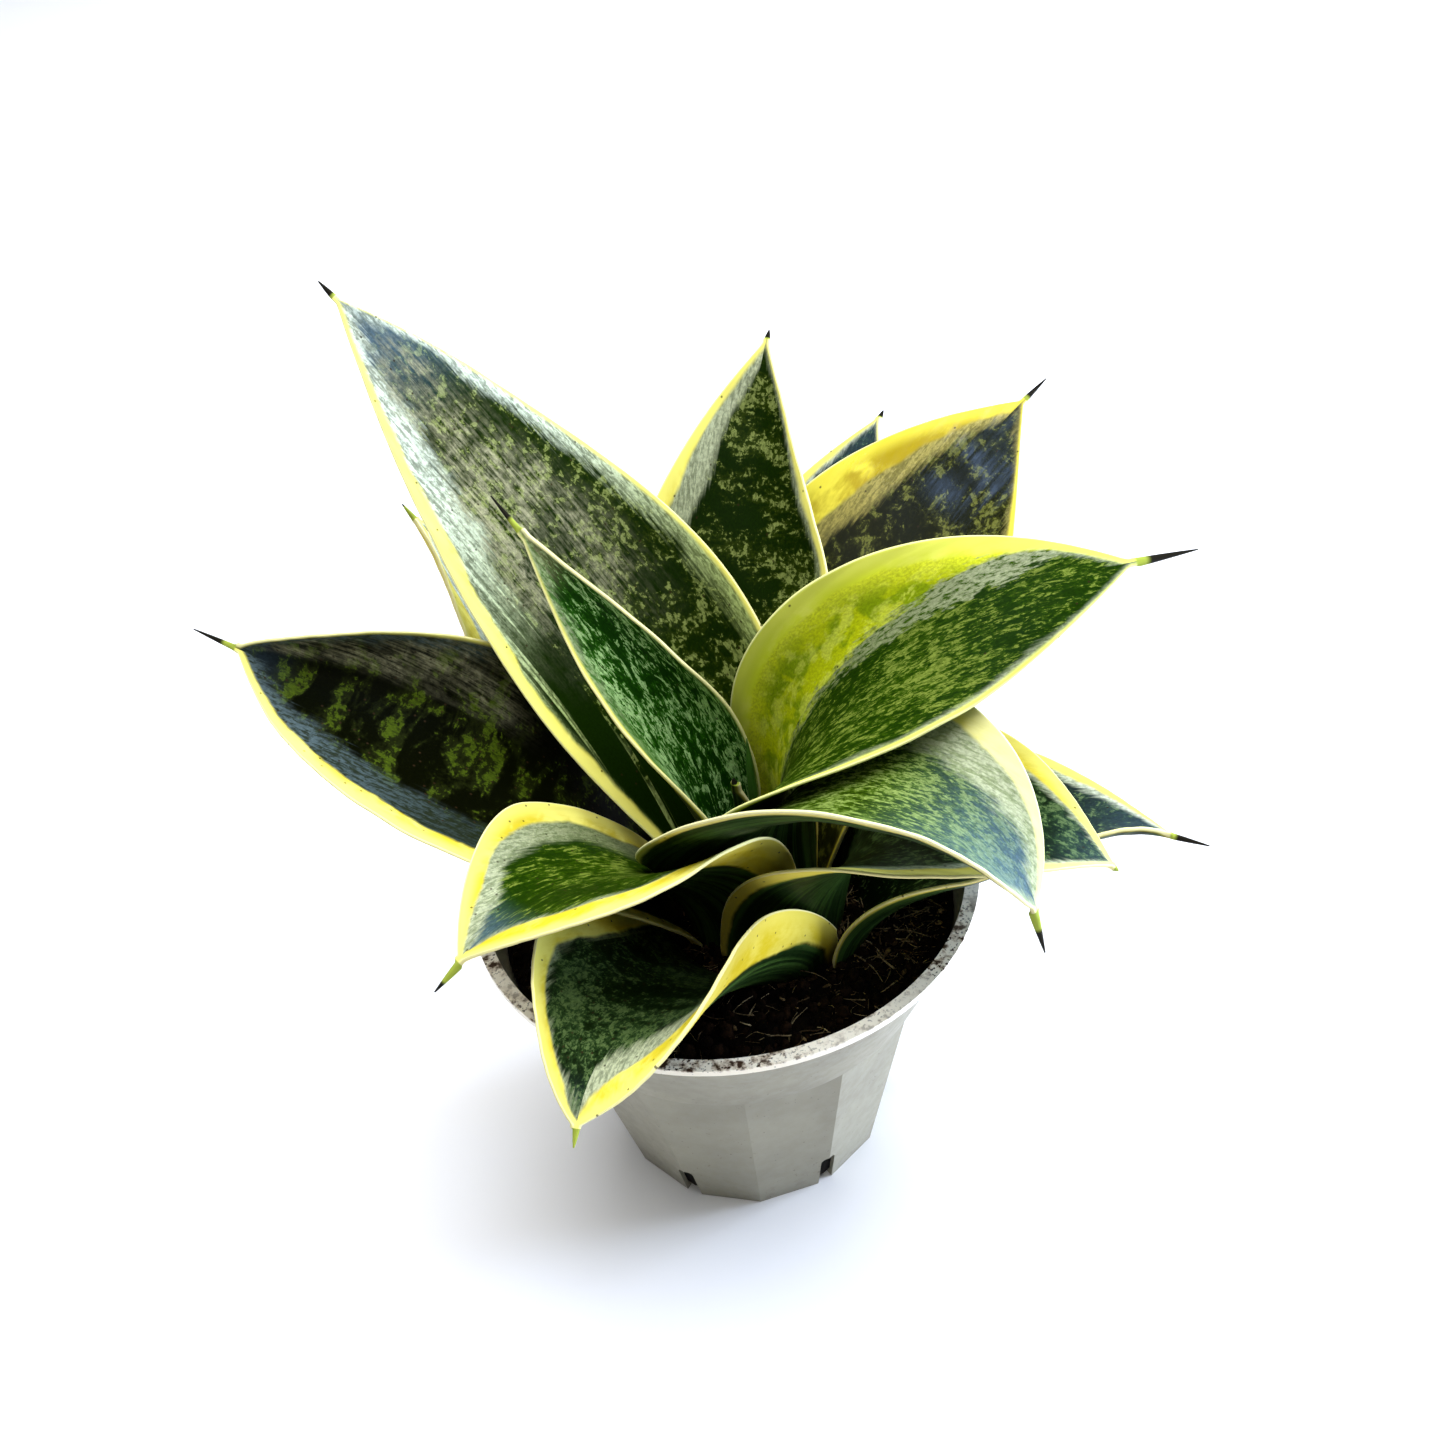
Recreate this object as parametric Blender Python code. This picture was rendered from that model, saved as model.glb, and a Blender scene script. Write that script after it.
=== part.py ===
"""A dwarf bird's-nest snake plant in a pale plastic nursery pot.

+Z is up, the origin is the middle of the pot's underside, and the viewer stands on the -Y side.
Sizes are in millimetres and angles in degrees; build_object() turns them into metres.
"""

import math
from dataclasses import dataclass

import bmesh
import bpy
import numpy as np

MM = 0.001
GAP = 0.3                      # clearance between two pieces that lie on each other
SHARP_ANGLE = 35.0             # edges with a sharper bend than this are shaded as corners

# Pot: twelve flat panels below a round, flared collar
RIM_RADIUS = 60.0
POT_HEIGHT = 81.0
LIP_WIDTH = 3.3
LIP_DEPTH = 1.6
LIP_OVERHANG = 0.5
COLLAR_FOOT_Z = 54.5
COLLAR_FOOT_RADIUS = 47.4
BODY_TOP_RADIUS = 46.4         # at the corners between panels
FOOT_RADIUS = 33.5
WALL = 1.2
FLOOR = 1.6
PANELS = 12
FIRST_CORNER = -93.0           # direction of the corner nearest the viewer
STEPS_PER_PANEL = 6

# Drainage notches, at every second corner
NOTCH_WIDTH = 4.0
NOTCH_HEIGHT = 12.0
NOTCH_DEPTH = 2.6
CUTTER_BELOW = 2.0             # how far the blocks that cut them reach past the pot
CUTTER_OUTWARD = 6.0

# Soil and the rootstock in it
SOIL_Z = 72.0                  # at the rootstock; it falls off toward the pot's wall
SOIL_FALL = 1.0
SOIL_RELIEF = 0.9              # height of its lumps
SOIL_WAVES = 7
SOIL_WAVELENGTHS = (9.0, 26.0)
SOIL_CIRCLES = 6               # rings of points between the wall and the rootstock
SOIL_SEED = 7
CROWN_X = 9.0                  # the crown stands a little off the pot's axis
CROWN_Y = -2.0
ROOTSTOCK_RADIUS = 27.7
ROOTSTOCK_FOOT_Z = 58.0
ROOTSTOCK_ROUND = 3.0
ROOTSTOCK_SIDES = 48
LEAF_FOOT_Z = 70.0

# Leaves
FOOT_THICKNESS = 2.1           # along the midrib
TIP_THICKNESS = 1.4
MARGIN_THICKNESS = 0.8
SPINE_RADIUS = 0.75
SPINE_TIP_RADIUS = 0.25
TIGHTEST_CUP = 115.0
FLATTEST_CUP = 0.001           # in radians: a flat half is a very slight arc
LEVEL_FOOT = 0.5               # height of the short upright stretch that ends in a level foot
LEAF_SHARP_ANGLE = 60.0
ROWS = 18                      # cells along a blade
COLUMNS = 6                    # cells across it
SPINE_ROWS = 3

# The youngest leaf of all, still rolled into a spike
SPIKE_RADIUS = 1.1
SPIKE_NECK_RADIUS = 0.9        # halfway from the shoulder to the tip
SPIKE_SHOULDER_Z = 108.0
SPIKE_TIP_Z = 123.0
SPIKE_SIDES = 10


@dataclass(frozen=True)
class Finish:
    """A plain material: sRGB colour as hex, roughness and metallic value."""

    colour: str
    roughness: float
    metallic: float = 0.0


PLASTIC = Finish("C9CBCA", 0.45)
PEAT = Finish("241C16", 0.95)
BARK = Finish("4A3B2A", 0.9)
LEAF_GREEN = Finish("4F6B2A", 0.35)
YOUNG_GREEN = Finish("2F5A2A", 0.35)


@dataclass(frozen=True)
class Leaf:
    """How one leaf grows out of the crown.

    Each tuple gives its value at evenly spaced stations, the first at the leaf's foot and the last at
    its tip, except that the cups begin a third of the way up: at the foot a leaf clasps the crown.
    """

    name: str
    foot: float                # radius of the foot round the crown's axis
    length: float              # blade, without its spine
    foot_width: float
    width: float
    widest: float              # where it is widest, as a share of its length
    fullness: float            # below 1.6 it narrows early, above 1.9 it stays full to the tip
    heading: tuple             # compass direction, anticlockwise from +X
    rise: tuple                # slope above the horizon
    twist: tuple               # turn about its own midrib
    cup_left: tuple            # how far the left half curls up, seen looking along the leaf
    cup_right: tuple
    spine: float               # length of the dark awn at the tip
    finish: Finish = LEAF_GREEN


LEAVES = (
    Leaf(
        "leaf_youngest", foot=2.5, length=44, foot_width=9, width=9, widest=0.5, fullness=1.8,
        heading=(225, 225, 225), rise=(89, 88, 86, 84), twist=(0, 0, 0),
        cup_left=(95, 80, 60), cup_right=(95, 80, 60), spine=2, finish=YOUNG_GREEN,
    ),
    Leaf(
        "leaf_inner_left", foot=5, length=112, foot_width=10, width=29, widest=0.5, fullness=1.4,
        heading=(167, 153, 133), rise=(77, 78, 55, 40), twist=(-2, 31, 36),
        cup_left=(95, 40, 15), cup_right=(75, 95, 95), spine=10.5,
    ),
    Leaf(
        "leaf_inner_right", foot=7, length=146, foot_width=17, width=49, widest=0.45, fullness=2.0,
        heading=(-55, -15, 17), rise=(95, 71, 29, -7), twist=(1, -18, -36),
        cup_left=(95, 45, 0), cup_right=(65, 5, 0), spine=16,
    ),
    Leaf(
        "leaf_upper_left", foot=8, length=171, foot_width=20, width=58, widest=0.4, fullness=1.8,
        heading=(116, 143, 148), rise=(87, 54, 51, 46), twist=(-2, 13, 33),
        cup_left=(0, 0, 0), cup_right=(60, 0, 0), spine=5,
    ),
    Leaf(
        "leaf_front_right", foot=10.5, length=130, foot_width=41, width=59, widest=0.55, fullness=2.1,
        heading=(254, 317, 318), rise=(90, 63, 10, -75), twist=(-1, 0, 3),
        cup_left=(45, 40, 15), cup_right=(45, 55, 35), spine=11.5,
    ),
    Leaf(
        "leaf_back", foot=12, length=132, foot_width=17, width=49, widest=0.55, fullness=1.4,
        heading=(96, 77, 58), rise=(81, 62, 49, 49), twist=(10, -3, -11),
        cup_left=(25, 25, 25), cup_right=(30, 40, 45), spine=2.5,
    ),
    Leaf(
        "leaf_front_left", foot=15.5, length=95, foot_width=37, width=59, widest=0.6, fullness=1.6,
        heading=(220, 220, 212), rise=(92, 51, 21, -27), twist=(-9, -22, -13),
        cup_left=(55, 10, 25), cup_right=(60, 65, 55), spine=8,
    ),
    Leaf(
        "leaf_back_right", foot=13.5, length=133, foot_width=21, width=59, widest=0.6, fullness=1.4,
        heading=(52, 42, 31), rise=(80, 52, 33, 23), twist=(5, -15, -32),
        cup_left=(40, 20, 0), cup_right=(50, 20, 0), spine=8,
    ),
    Leaf(
        "leaf_right", foot=17, length=100, foot_width=52, width=58, widest=0.6, fullness=1.4,
        heading=(313, 331, 338), rise=(79, 58, 10, -35), twist=(-2, 1, 12),
        cup_left=(25, 25, 25), cup_right=(70, 20, 15), spine=1.5,
    ),
    Leaf(
        "leaf_left", foot=20, length=129, foot_width=22, width=59, widest=0.45, fullness=1.9,
        heading=(180, 164, 144), rise=(72, 44, 27, 8), twist=(-7, 11, 36),
        cup_left=(25, 35, 25), cup_right=(15, 70, 95), spine=13.5,
    ),
    Leaf(
        "leaf_front", foot=23, length=82, foot_width=53, width=59, widest=0.6, fullness=1.4,
        heading=(248, 235, 251), rise=(50, 35, 18, -37), twist=(-3, -7, 13),
        cup_left=(95, 75, 15), cup_right=(55, 65, 65), spine=4,
    ),
    Leaf(
        "leaf_low_right", foot=22, length=80, foot_width=49, width=54, widest=0.5, fullness=1.4,
        heading=(354, 342, 335), rise=(60, 26, 18, -8), twist=(-12, 1, 30),
        cup_left=(50, 30, 30), cup_right=(60, 30, 50), spine=9,
    ),
    Leaf(
        "leaf_behind_back_right", foot=20, length=113, foot_width=24, width=44, widest=0.5, fullness=1.8,
        heading=(74, 61, 48), rise=(62, 50, 40, 34), twist=(-12, -2, 8),
        cup_left=(45, 40, 30), cup_right=(40, 40, 40), spine=2.5,
    ),
    Leaf(
        "leaf_behind_upper_left", foot=23.5, length=109, foot_width=32, width=49, widest=0.5, fullness=1.8,
        heading=(137, 137, 141), rise=(58, 47, 47, 48), twist=(0, -5, -13),
        cup_left=(5, 35, 70), cup_right=(40, 40, 40), spine=5,
    ),
)


def clear_scene():
    """Remove whatever the scene holds."""
    for item in list(bpy.data.objects):
        bpy.data.objects.remove(item, do_unlink=True)
    for mesh in list(bpy.data.meshes):
        bpy.data.meshes.remove(mesh)


def linear(hex_colour):
    """Turn an sRGB hex colour into linear red, green, blue and alpha."""
    channels = [int(hex_colour[i:i + 2], 16) / 255 for i in (0, 2, 4)]
    return [c / 12.92 if c <= 0.04045 else ((c + 0.055) / 1.055) ** 2.4 for c in channels] + [1.0]


def material(name, finish):
    """Make a Principled material with one colour."""
    made = bpy.data.materials.new(name)
    made.use_nodes = True
    shader = made.node_tree.nodes["Principled BSDF"]
    shader.inputs["Base Color"].default_value = linear(finish.colour)
    shader.inputs["Roughness"].default_value = finish.roughness
    shader.inputs["Metallic"].default_value = finish.metallic
    return made


def build_object(name, rings, finish, sharp_angle=SHARP_ANGLE):
    """Loft one closed body through rings of equally many points, with a flat cap at each end."""
    count = len(rings[0])
    points = np.concatenate(rings) * MM
    mesh = bmesh.new()
    verts = [mesh.verts.new(point) for point in points]
    for row in range(len(rings) - 1):
        for i in range(count):
            j = (i + 1) % count
            low, high = row * count, (row + 1) * count
            mesh.faces.new((verts[low + i], verts[low + j], verts[high + j], verts[high + i]))
    mesh.faces.new(reversed(verts[:count]))
    mesh.faces.new(verts[-count:])
    bmesh.ops.triangulate(mesh, faces=mesh.faces[:], quad_method="FIXED", ngon_method="BEAUTY")
    data = bpy.data.meshes.new(name)
    mesh.to_mesh(data)
    mesh.free()
    data.shade_smooth()
    data.set_sharp_from_angle(angle=math.radians(sharp_angle))
    data.materials.append(material(name, finish))
    made = bpy.data.objects.new(name, data)
    bpy.context.scene.collection.objects.link(made)
    return made


def pot_angles():
    """Directions of a pot ring's points, one of them on each corner, in radians."""
    count = PANELS * STEPS_PER_PANEL
    return np.radians(FIRST_CORNER + np.arange(count) * 360 / count)


def pot_ring(radius, z, panelled):
    """One level of the pot: a circle, or a twelve-sided figure with corners at the given radius."""
    angles = pot_angles()
    reach = np.full(len(angles), radius)
    if panelled:
        half_panel = math.pi / PANELS
        off_middle = np.radians(np.arange(len(angles)) * 360 / len(angles)) % (2 * half_panel) - half_panel
        reach = radius * math.cos(half_panel) / np.cos(off_middle)
    return np.stack([reach * np.cos(angles), reach * np.sin(angles), np.full(len(angles), z)], axis=1)


def body_radius(z):
    """Corner radius of the pot's twelve-sided body, outside, at a height."""
    return FOOT_RADIUS + (BODY_TOP_RADIUS - FOOT_RADIUS) * z / COLLAR_FOOT_Z


def collar_radius(z):
    """Outer radius of the flared collar at a height."""
    share = (z - COLLAR_FOOT_Z) / (POT_HEIGHT - COLLAR_FOOT_Z)
    return COLLAR_FOOT_RADIUS + (RIM_RADIUS - COLLAR_FOOT_RADIUS) * share


def inner_body_radius(z, clearance=0.0):
    """Corner radius of the twelve-sided space inside the pot's body, less a clearance."""
    return body_radius(z) - (WALL + clearance) / math.cos(math.pi / PANELS)


def inner_collar_radius(z, clearance=0.0):
    """Radius of the round space inside the collar, less a clearance."""
    return collar_radius(z) - WALL - clearance


def build_pot():
    """The pot: foot, twelve panels, collar, flat lip, and the same shape again inside."""
    lip_foot_z = POT_HEIGHT - LIP_DEPTH
    step_z = COLLAR_FOOT_Z + WALL
    outside = [
        pot_ring(FOOT_RADIUS, 0, True),
        pot_ring(BODY_TOP_RADIUS, COLLAR_FOOT_Z, True),
        pot_ring(COLLAR_FOOT_RADIUS, COLLAR_FOOT_Z, False),
        pot_ring(collar_radius(lip_foot_z) - LIP_OVERHANG, lip_foot_z, False),
        pot_ring(RIM_RADIUS, lip_foot_z, False),
        pot_ring(RIM_RADIUS, POT_HEIGHT, False),
    ]
    inside = [
        pot_ring(RIM_RADIUS - LIP_WIDTH, POT_HEIGHT, False),
        pot_ring(inner_collar_radius(lip_foot_z), lip_foot_z - WALL, False),
        pot_ring(inner_collar_radius(step_z), step_z, False),
        pot_ring(inner_body_radius(step_z), step_z, True),
        pot_ring(inner_body_radius(FLOOR), FLOOR, True),
    ]
    pot = build_object("pot", outside + inside, PLASTIC)
    cutter = build_notch_cutter()
    cut = pot.modifiers.new("notches", "BOOLEAN")
    cut.operation = "DIFFERENCE"
    cut.solver = "EXACT"
    cut.object = cutter
    return pot


def build_notch_cutter():
    """Six upright blocks in one guide object, standing at every second corner of the pot's foot."""
    mesh = bmesh.new()
    length = NOTCH_DEPTH + CUTTER_OUTWARD
    height = NOTCH_HEIGHT + CUTTER_BELOW
    middle = (FOOT_RADIUS - NOTCH_DEPTH + length / 2, 0, NOTCH_HEIGHT - height / 2)
    for corner in range(1, PANELS, 2):
        angle = math.radians(FIRST_CORNER + corner * 360 / PANELS)
        block = bmesh.ops.create_cube(mesh, size=1.0)["verts"]
        bmesh.ops.scale(mesh, vec=(length, NOTCH_WIDTH, height), verts=block)
        bmesh.ops.translate(mesh, vec=middle, verts=block)
        turn = ((math.cos(angle), -math.sin(angle), 0), (math.sin(angle), math.cos(angle), 0), (0, 0, 1))
        for vert in block:
            vert.co = [sum(row[k] * vert.co[k] for k in range(3)) * MM for row in turn]
    data = bpy.data.meshes.new("notch_cutter")
    mesh.to_mesh(data)
    mesh.free()
    cutter = bpy.data.objects.new("notch_cutter", data)
    cutter.hide_render = True
    cutter.display_type = "WIRE"
    bpy.context.scene.collection.objects.link(cutter)
    return cutter


def relief(x, y):
    """Height of the soil's lumps at a place, about -1 to 1: a few crossed waves from a seeded draw."""
    draw = np.random.default_rng(SOIL_SEED)
    height = np.zeros_like(x)
    for _ in range(SOIL_WAVES):
        direction = draw.uniform(0, math.tau)
        wavelength = draw.uniform(*SOIL_WAVELENGTHS)
        phase = draw.uniform(0, math.tau)
        along = x * math.cos(direction) + y * math.sin(direction)
        height += np.sin(math.tau * along / wavelength + phase)
    return height / math.sqrt(SOIL_WAVES)


def crown_ring(radius, z, sides, start=0.0):
    """A level circle round the crown's axis, its first point in the given direction."""
    angles = math.radians(start) + np.arange(sides) * math.tau / sides
    x = CROWN_X + radius * np.cos(angles)
    y = CROWN_Y + radius * np.sin(angles)
    return np.stack([x, y, np.full(sides, z)], axis=1)


def build_soil():
    """The soil: it fills the pot, has a lumpy top, and a plain round hole for the rootstock."""
    foot_z = FLOOR + GAP
    step_z = COLLAR_FOOT_Z + WALL + GAP
    edge_z = SOIL_Z - SOIL_FALL
    rings = [
        pot_ring(inner_body_radius(foot_z, GAP), foot_z, True),
        pot_ring(inner_body_radius(step_z, GAP), step_z, True),
        pot_ring(inner_collar_radius(step_z, GAP), step_z, False),
        pot_ring(inner_collar_radius(edge_z, GAP), edge_z, False),
    ]
    wall = rings[-1]
    hole = crown_ring(ROOTSTOCK_RADIUS + GAP, SOIL_Z, len(wall), FIRST_CORNER)
    for circle in range(1, SOIL_CIRCLES + 1):
        share = circle / SOIL_CIRCLES
        ring = wall * (1 - share) + hole * share
        lumps = relief(ring[:, 0], ring[:, 1]) * (1 - share / 2)     # half as high at the rootstock
        ring[:, 2] += SOIL_RELIEF * lumps
        rings.append(ring)
    floor = hole.copy()
    floor[:, 2] = ROOTSTOCK_FOOT_Z - GAP
    rings.append(floor)
    return build_object("soil", rings, PEAT)


def build_rootstock():
    """The squat rootstock, rounded below, with a flat top that the leaves stand on."""
    profile = [
        (ROOTSTOCK_RADIUS - ROOTSTOCK_ROUND, ROOTSTOCK_FOOT_Z),
        (ROOTSTOCK_RADIUS - ROOTSTOCK_ROUND / 3, ROOTSTOCK_FOOT_Z + ROOTSTOCK_ROUND / 3),
        (ROOTSTOCK_RADIUS, ROOTSTOCK_FOOT_Z + ROOTSTOCK_ROUND),
        (ROOTSTOCK_RADIUS, LEAF_FOOT_Z - GAP),
    ]
    rings = [crown_ring(radius, z, ROOTSTOCK_SIDES) for radius, z in profile]
    return build_object("rootstock", rings, BARK)


def build_spike():
    """The rolled leaf in the middle of the crown: a round stem that tapers to a point."""
    profile = [
        (SPIKE_RADIUS, LEAF_FOOT_Z),
        (SPIKE_RADIUS, SPIKE_SHOULDER_Z),
        (SPIKE_NECK_RADIUS, (SPIKE_SHOULDER_Z + SPIKE_TIP_Z) / 2),
        (SPINE_TIP_RADIUS, SPIKE_TIP_Z),
    ]
    rings = [crown_ring(radius, z, SPIKE_SIDES) for radius, z in profile]
    return build_object("leaf_spike", rings, YOUNG_GREEN, LEAF_SHARP_ANGLE)


def through(values, share):
    """The smooth curve through evenly spaced values, read at shares of the way along."""
    stations = np.linspace(0, 1, len(values))
    return np.polynomial.Polynomial.fit(stations, values, len(values) - 1)(share)


def half_width(leaf, share):
    """Half the blade's width at shares of its length."""
    below = np.clip((leaf.widest - share) / leaf.widest, 0, 1)
    above = np.clip((share - leaf.widest) / (1 - leaf.widest), 0, 1)
    lower = leaf.width - (leaf.width - leaf.foot_width) * below ** 2
    upper = leaf.width * (1 - above ** leaf.fullness)
    return np.maximum(np.where(share > leaf.widest, upper, lower) / 2, SPINE_RADIUS)


def midrib(leaf, share):
    """Points along the midrib, and there the leaf's direction, its right hand and its upper side."""
    heading = np.radians(through(leaf.heading, share))
    rise = np.radians(through(leaf.rise, share))
    twist = np.radians(through(leaf.twist, share))[:, None]
    along = np.stack([np.cos(rise) * np.cos(heading), np.cos(rise) * np.sin(heading), np.sin(rise)], axis=1)
    level = np.stack([np.sin(heading), -np.cos(heading), 0 * heading], axis=1)
    upright = np.cross(level, along)
    right = level * np.cos(twist) + upright * np.sin(twist)
    up = upright * np.cos(twist) - level * np.sin(twist)
    steps = (along[1:] + along[:-1]) / 2 * np.diff(share)[:, None] * leaf.length
    foot = [
        CROWN_X + leaf.foot * math.cos(heading[0]),
        CROWN_Y + leaf.foot * math.sin(heading[0]),
        LEAF_FOOT_Z,
    ]
    points = foot + np.concatenate([np.zeros((1, 3)), np.cumsum(steps, axis=0)])
    return points, along, right, up


def cups(leaf, share):
    """How far each half curls up, left and right, in radians from the midrib to the margin."""
    clasp = min(math.degrees(leaf.foot_width / 2 / leaf.foot), TIGHTEST_CUP)
    left = through((clasp,) + leaf.cup_left, share)
    right = through((clasp,) + leaf.cup_right, share)
    return np.radians(left), np.radians(right)


def blade_sections(leaf):
    """Closed cross-sections of the blade, foot to tip: the upper face left to right, then the lower."""
    share = np.linspace(0, 1, ROWS + 1)
    points, _, right, up = midrib(leaf, share)
    half = half_width(leaf, share)
    cup_left, cup_right = cups(leaf, share)
    body = FOOT_THICKNESS + (TIP_THICKNESS - FOOT_THICKNESS) * share
    upper, lower = [], []
    for across in np.linspace(-1, 1, COLUMNS + 1):
        cup = np.where(across < 0, cup_left, cup_right)
        cup = np.where(np.abs(cup) < FLATTEST_CUP, FLATTEST_CUP, cup)
        bend = cup * abs(across)
        out = np.sign(across) * half * np.sin(bend) / cup
        lift = half * (1 - np.cos(bend)) / cup
        face = points + right * out[:, None] + up * lift[:, None]
        normal = up * np.cos(bend)[:, None] - right * (np.sign(across) * np.sin(bend))[:, None]
        thickness = MARGIN_THICKNESS + (body - MARGIN_THICKNESS) * (1 - across ** 2)
        upper.append(face)
        lower.append(face - normal * thickness[:, None])
    loops = np.stack(upper + lower[::-1], axis=1)
    return list(loops)


def spine_sections(leaf):
    """Round cross-sections of the awn that runs on from the blade's tip."""
    points, along, right, up = midrib(leaf, np.linspace(0, 1, ROWS + 1))
    count = COLUMNS + 1
    angles = np.radians(180 - 180 * (np.arange(2 * count) + 0.5) / count)
    sections = []
    for row in range(1, SPINE_ROWS + 1):
        share = row / SPINE_ROWS
        radius = SPINE_RADIUS + (SPINE_TIP_RADIUS - SPINE_RADIUS) * share
        middle = points[-1] + along[-1] * leaf.spine * share - up[-1] * SPINE_RADIUS
        around = np.outer(np.cos(angles), right[-1]) + np.outer(np.sin(angles), up[-1])
        sections.append(middle + radius * around)
    return sections


def build_leaf(leaf):
    """One leaf, with its foot cut level on the rootstock."""
    blade = blade_sections(leaf)
    foot = blade[0].copy()
    foot[:, 2] = LEAF_FOOT_Z
    blade[0][:, 2] = np.maximum(blade[0][:, 2], LEAF_FOOT_Z + LEVEL_FOOT)
    rings = [foot] + blade + spine_sections(leaf)
    return build_object(leaf.name, rings, leaf.finish, LEAF_SHARP_ANGLE)


def main():
    """Build the pot, the soil, the rootstock and the leaves."""
    clear_scene()
    build_pot()
    build_soil()
    build_rootstock()
    build_spike()
    for leaf in LEAVES:
        build_leaf(leaf)


main()
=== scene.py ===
"""The looks of a potted dwarf bird's-nest snake plant in a pale plastic nursery pot.

+Z is up, the origin is the middle of the pot's underside, and the camera looks from the -Y side.
Sizes are in millimetres and angles in degrees, unless a name or a comment says otherwise.
"""

import logging
import math
import random
from abc import ABC, abstractmethod
from dataclasses import dataclass
from enum import Enum

import bmesh
import bpy
import numpy as np
from mathutils import Matrix, Vector, noise

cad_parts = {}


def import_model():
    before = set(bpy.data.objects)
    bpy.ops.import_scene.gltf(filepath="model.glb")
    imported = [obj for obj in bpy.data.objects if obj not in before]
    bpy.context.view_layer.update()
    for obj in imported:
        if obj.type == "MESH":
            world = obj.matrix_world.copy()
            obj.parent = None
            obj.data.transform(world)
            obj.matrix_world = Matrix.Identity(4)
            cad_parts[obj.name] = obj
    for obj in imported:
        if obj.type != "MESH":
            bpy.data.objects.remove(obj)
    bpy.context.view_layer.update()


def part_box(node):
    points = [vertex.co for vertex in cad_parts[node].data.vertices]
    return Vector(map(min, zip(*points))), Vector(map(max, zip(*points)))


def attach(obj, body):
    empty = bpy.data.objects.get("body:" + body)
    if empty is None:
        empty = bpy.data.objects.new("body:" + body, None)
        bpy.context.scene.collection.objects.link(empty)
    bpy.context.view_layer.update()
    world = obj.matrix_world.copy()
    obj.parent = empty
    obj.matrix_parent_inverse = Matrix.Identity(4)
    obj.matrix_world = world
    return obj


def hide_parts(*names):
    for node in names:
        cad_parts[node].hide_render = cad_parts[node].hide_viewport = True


MM = 0.001
BODY = "root"
LOG = logging.getLogger("snake_plant")

LEAF_MM, LEAF_SHARE, TINT = "leaf_mm", "leaf_share", "tint"     # the meshes' own attributes

MATH = "ShaderNodeMath"
MIX = "ShaderNodeMix"
RANGE = "ShaderNodeMapRange"
NOISE = "ShaderNodeTexNoise"
CELLS = "ShaderNodeTexVoronoi"
VECTOR = "ShaderNodeVectorMath"
SPLIT = "ShaderNodeSeparateXYZ"
OBJECT = "ShaderNodeTexCoord"
ATTRIBUTE = "ShaderNodeAttribute"
BUMP = "ShaderNodeBump"
MIX_FACTOR, MIX_A, MIX_B, MIX_RESULT = 0, 6, 7, 2     # the colour sockets of a Mix node
EASED = {"interpolation_type": "SMOOTHSTEP"}          # sockets: value, from low, from high, to low, to high

Socket = bpy.types.NodeSocket
Value = Socket | float
Colour = Socket | str      # a colour made by other nodes, or an sRGB hex colour
Inputs = dict[int | str, Value | tuple[float, ...]]


def linear(hex_colour: str) -> tuple[float, float, float, float]:
    """Turn an sRGB hex colour into linear light.

    Args:
        hex_colour: six hexadecimal digits.

    Returns:
        Red, green, blue and alpha, 0 to 1.
    """
    channels = [int(hex_colour[i:i + 2], 16) / 255 for i in (0, 2, 4)]
    red, green, blue = (c / 12.92 if c <= 0.04045 else ((c + 0.055) / 1.055) ** 2.4 for c in channels)
    return red, green, blue, 1.0


def settled(mesh: bmesh.types.BMesh, name: str) -> bpy.types.Mesh:
    """Turn a finished bmesh into a mesh.

    Args:
        mesh: the shape; it is freed.
        name: the mesh's name.

    Returns:
        The mesh.
    """
    data = bpy.data.meshes.new(name)
    mesh.to_mesh(data)
    mesh.free()
    return data


def stand(name: str, data: bpy.types.ID) -> bpy.types.Object:
    """Stand a new object at the scene's origin.

    Args:
        name: the object's name.
        data: its mesh, camera or light.

    Returns:
        The object.
    """
    made = bpy.data.objects.new(name, data)
    bpy.context.scene.collection.objects.link(made)
    return made


def place(mesh: bmesh.types.BMesh, name: str, material: bpy.types.Material,
          node: str = "") -> bpy.types.Object:
    """Turn a finished bmesh into a piece that rides on the plant's body.

    Args:
        mesh: the shape, in metres; it is freed.
        name: the piece's name.
        material: its only material.
        node: the CAD node that it stands for, if it stands for one.

    Returns:
        The new object, at the origin.
    """
    data = settled(mesh, name)
    data.shade_smooth()
    data.materials.append(material)
    piece = stand(name, data)
    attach(piece, BODY)
    if node:
        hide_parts(node)
    LOG.info("%s: %d faces", name, len(data.polygons))
    return piece


def circle(x: float, y: float, z: float, radius: float | np.ndarray, angles: np.ndarray) -> np.ndarray:
    """Points at height z round an upright axis at x, y, with one radius for all or one for each angle."""
    level = np.full(len(angles), z)
    return np.stack([x + radius * np.cos(angles), y + radius * np.sin(angles), level], axis=1)


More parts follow.
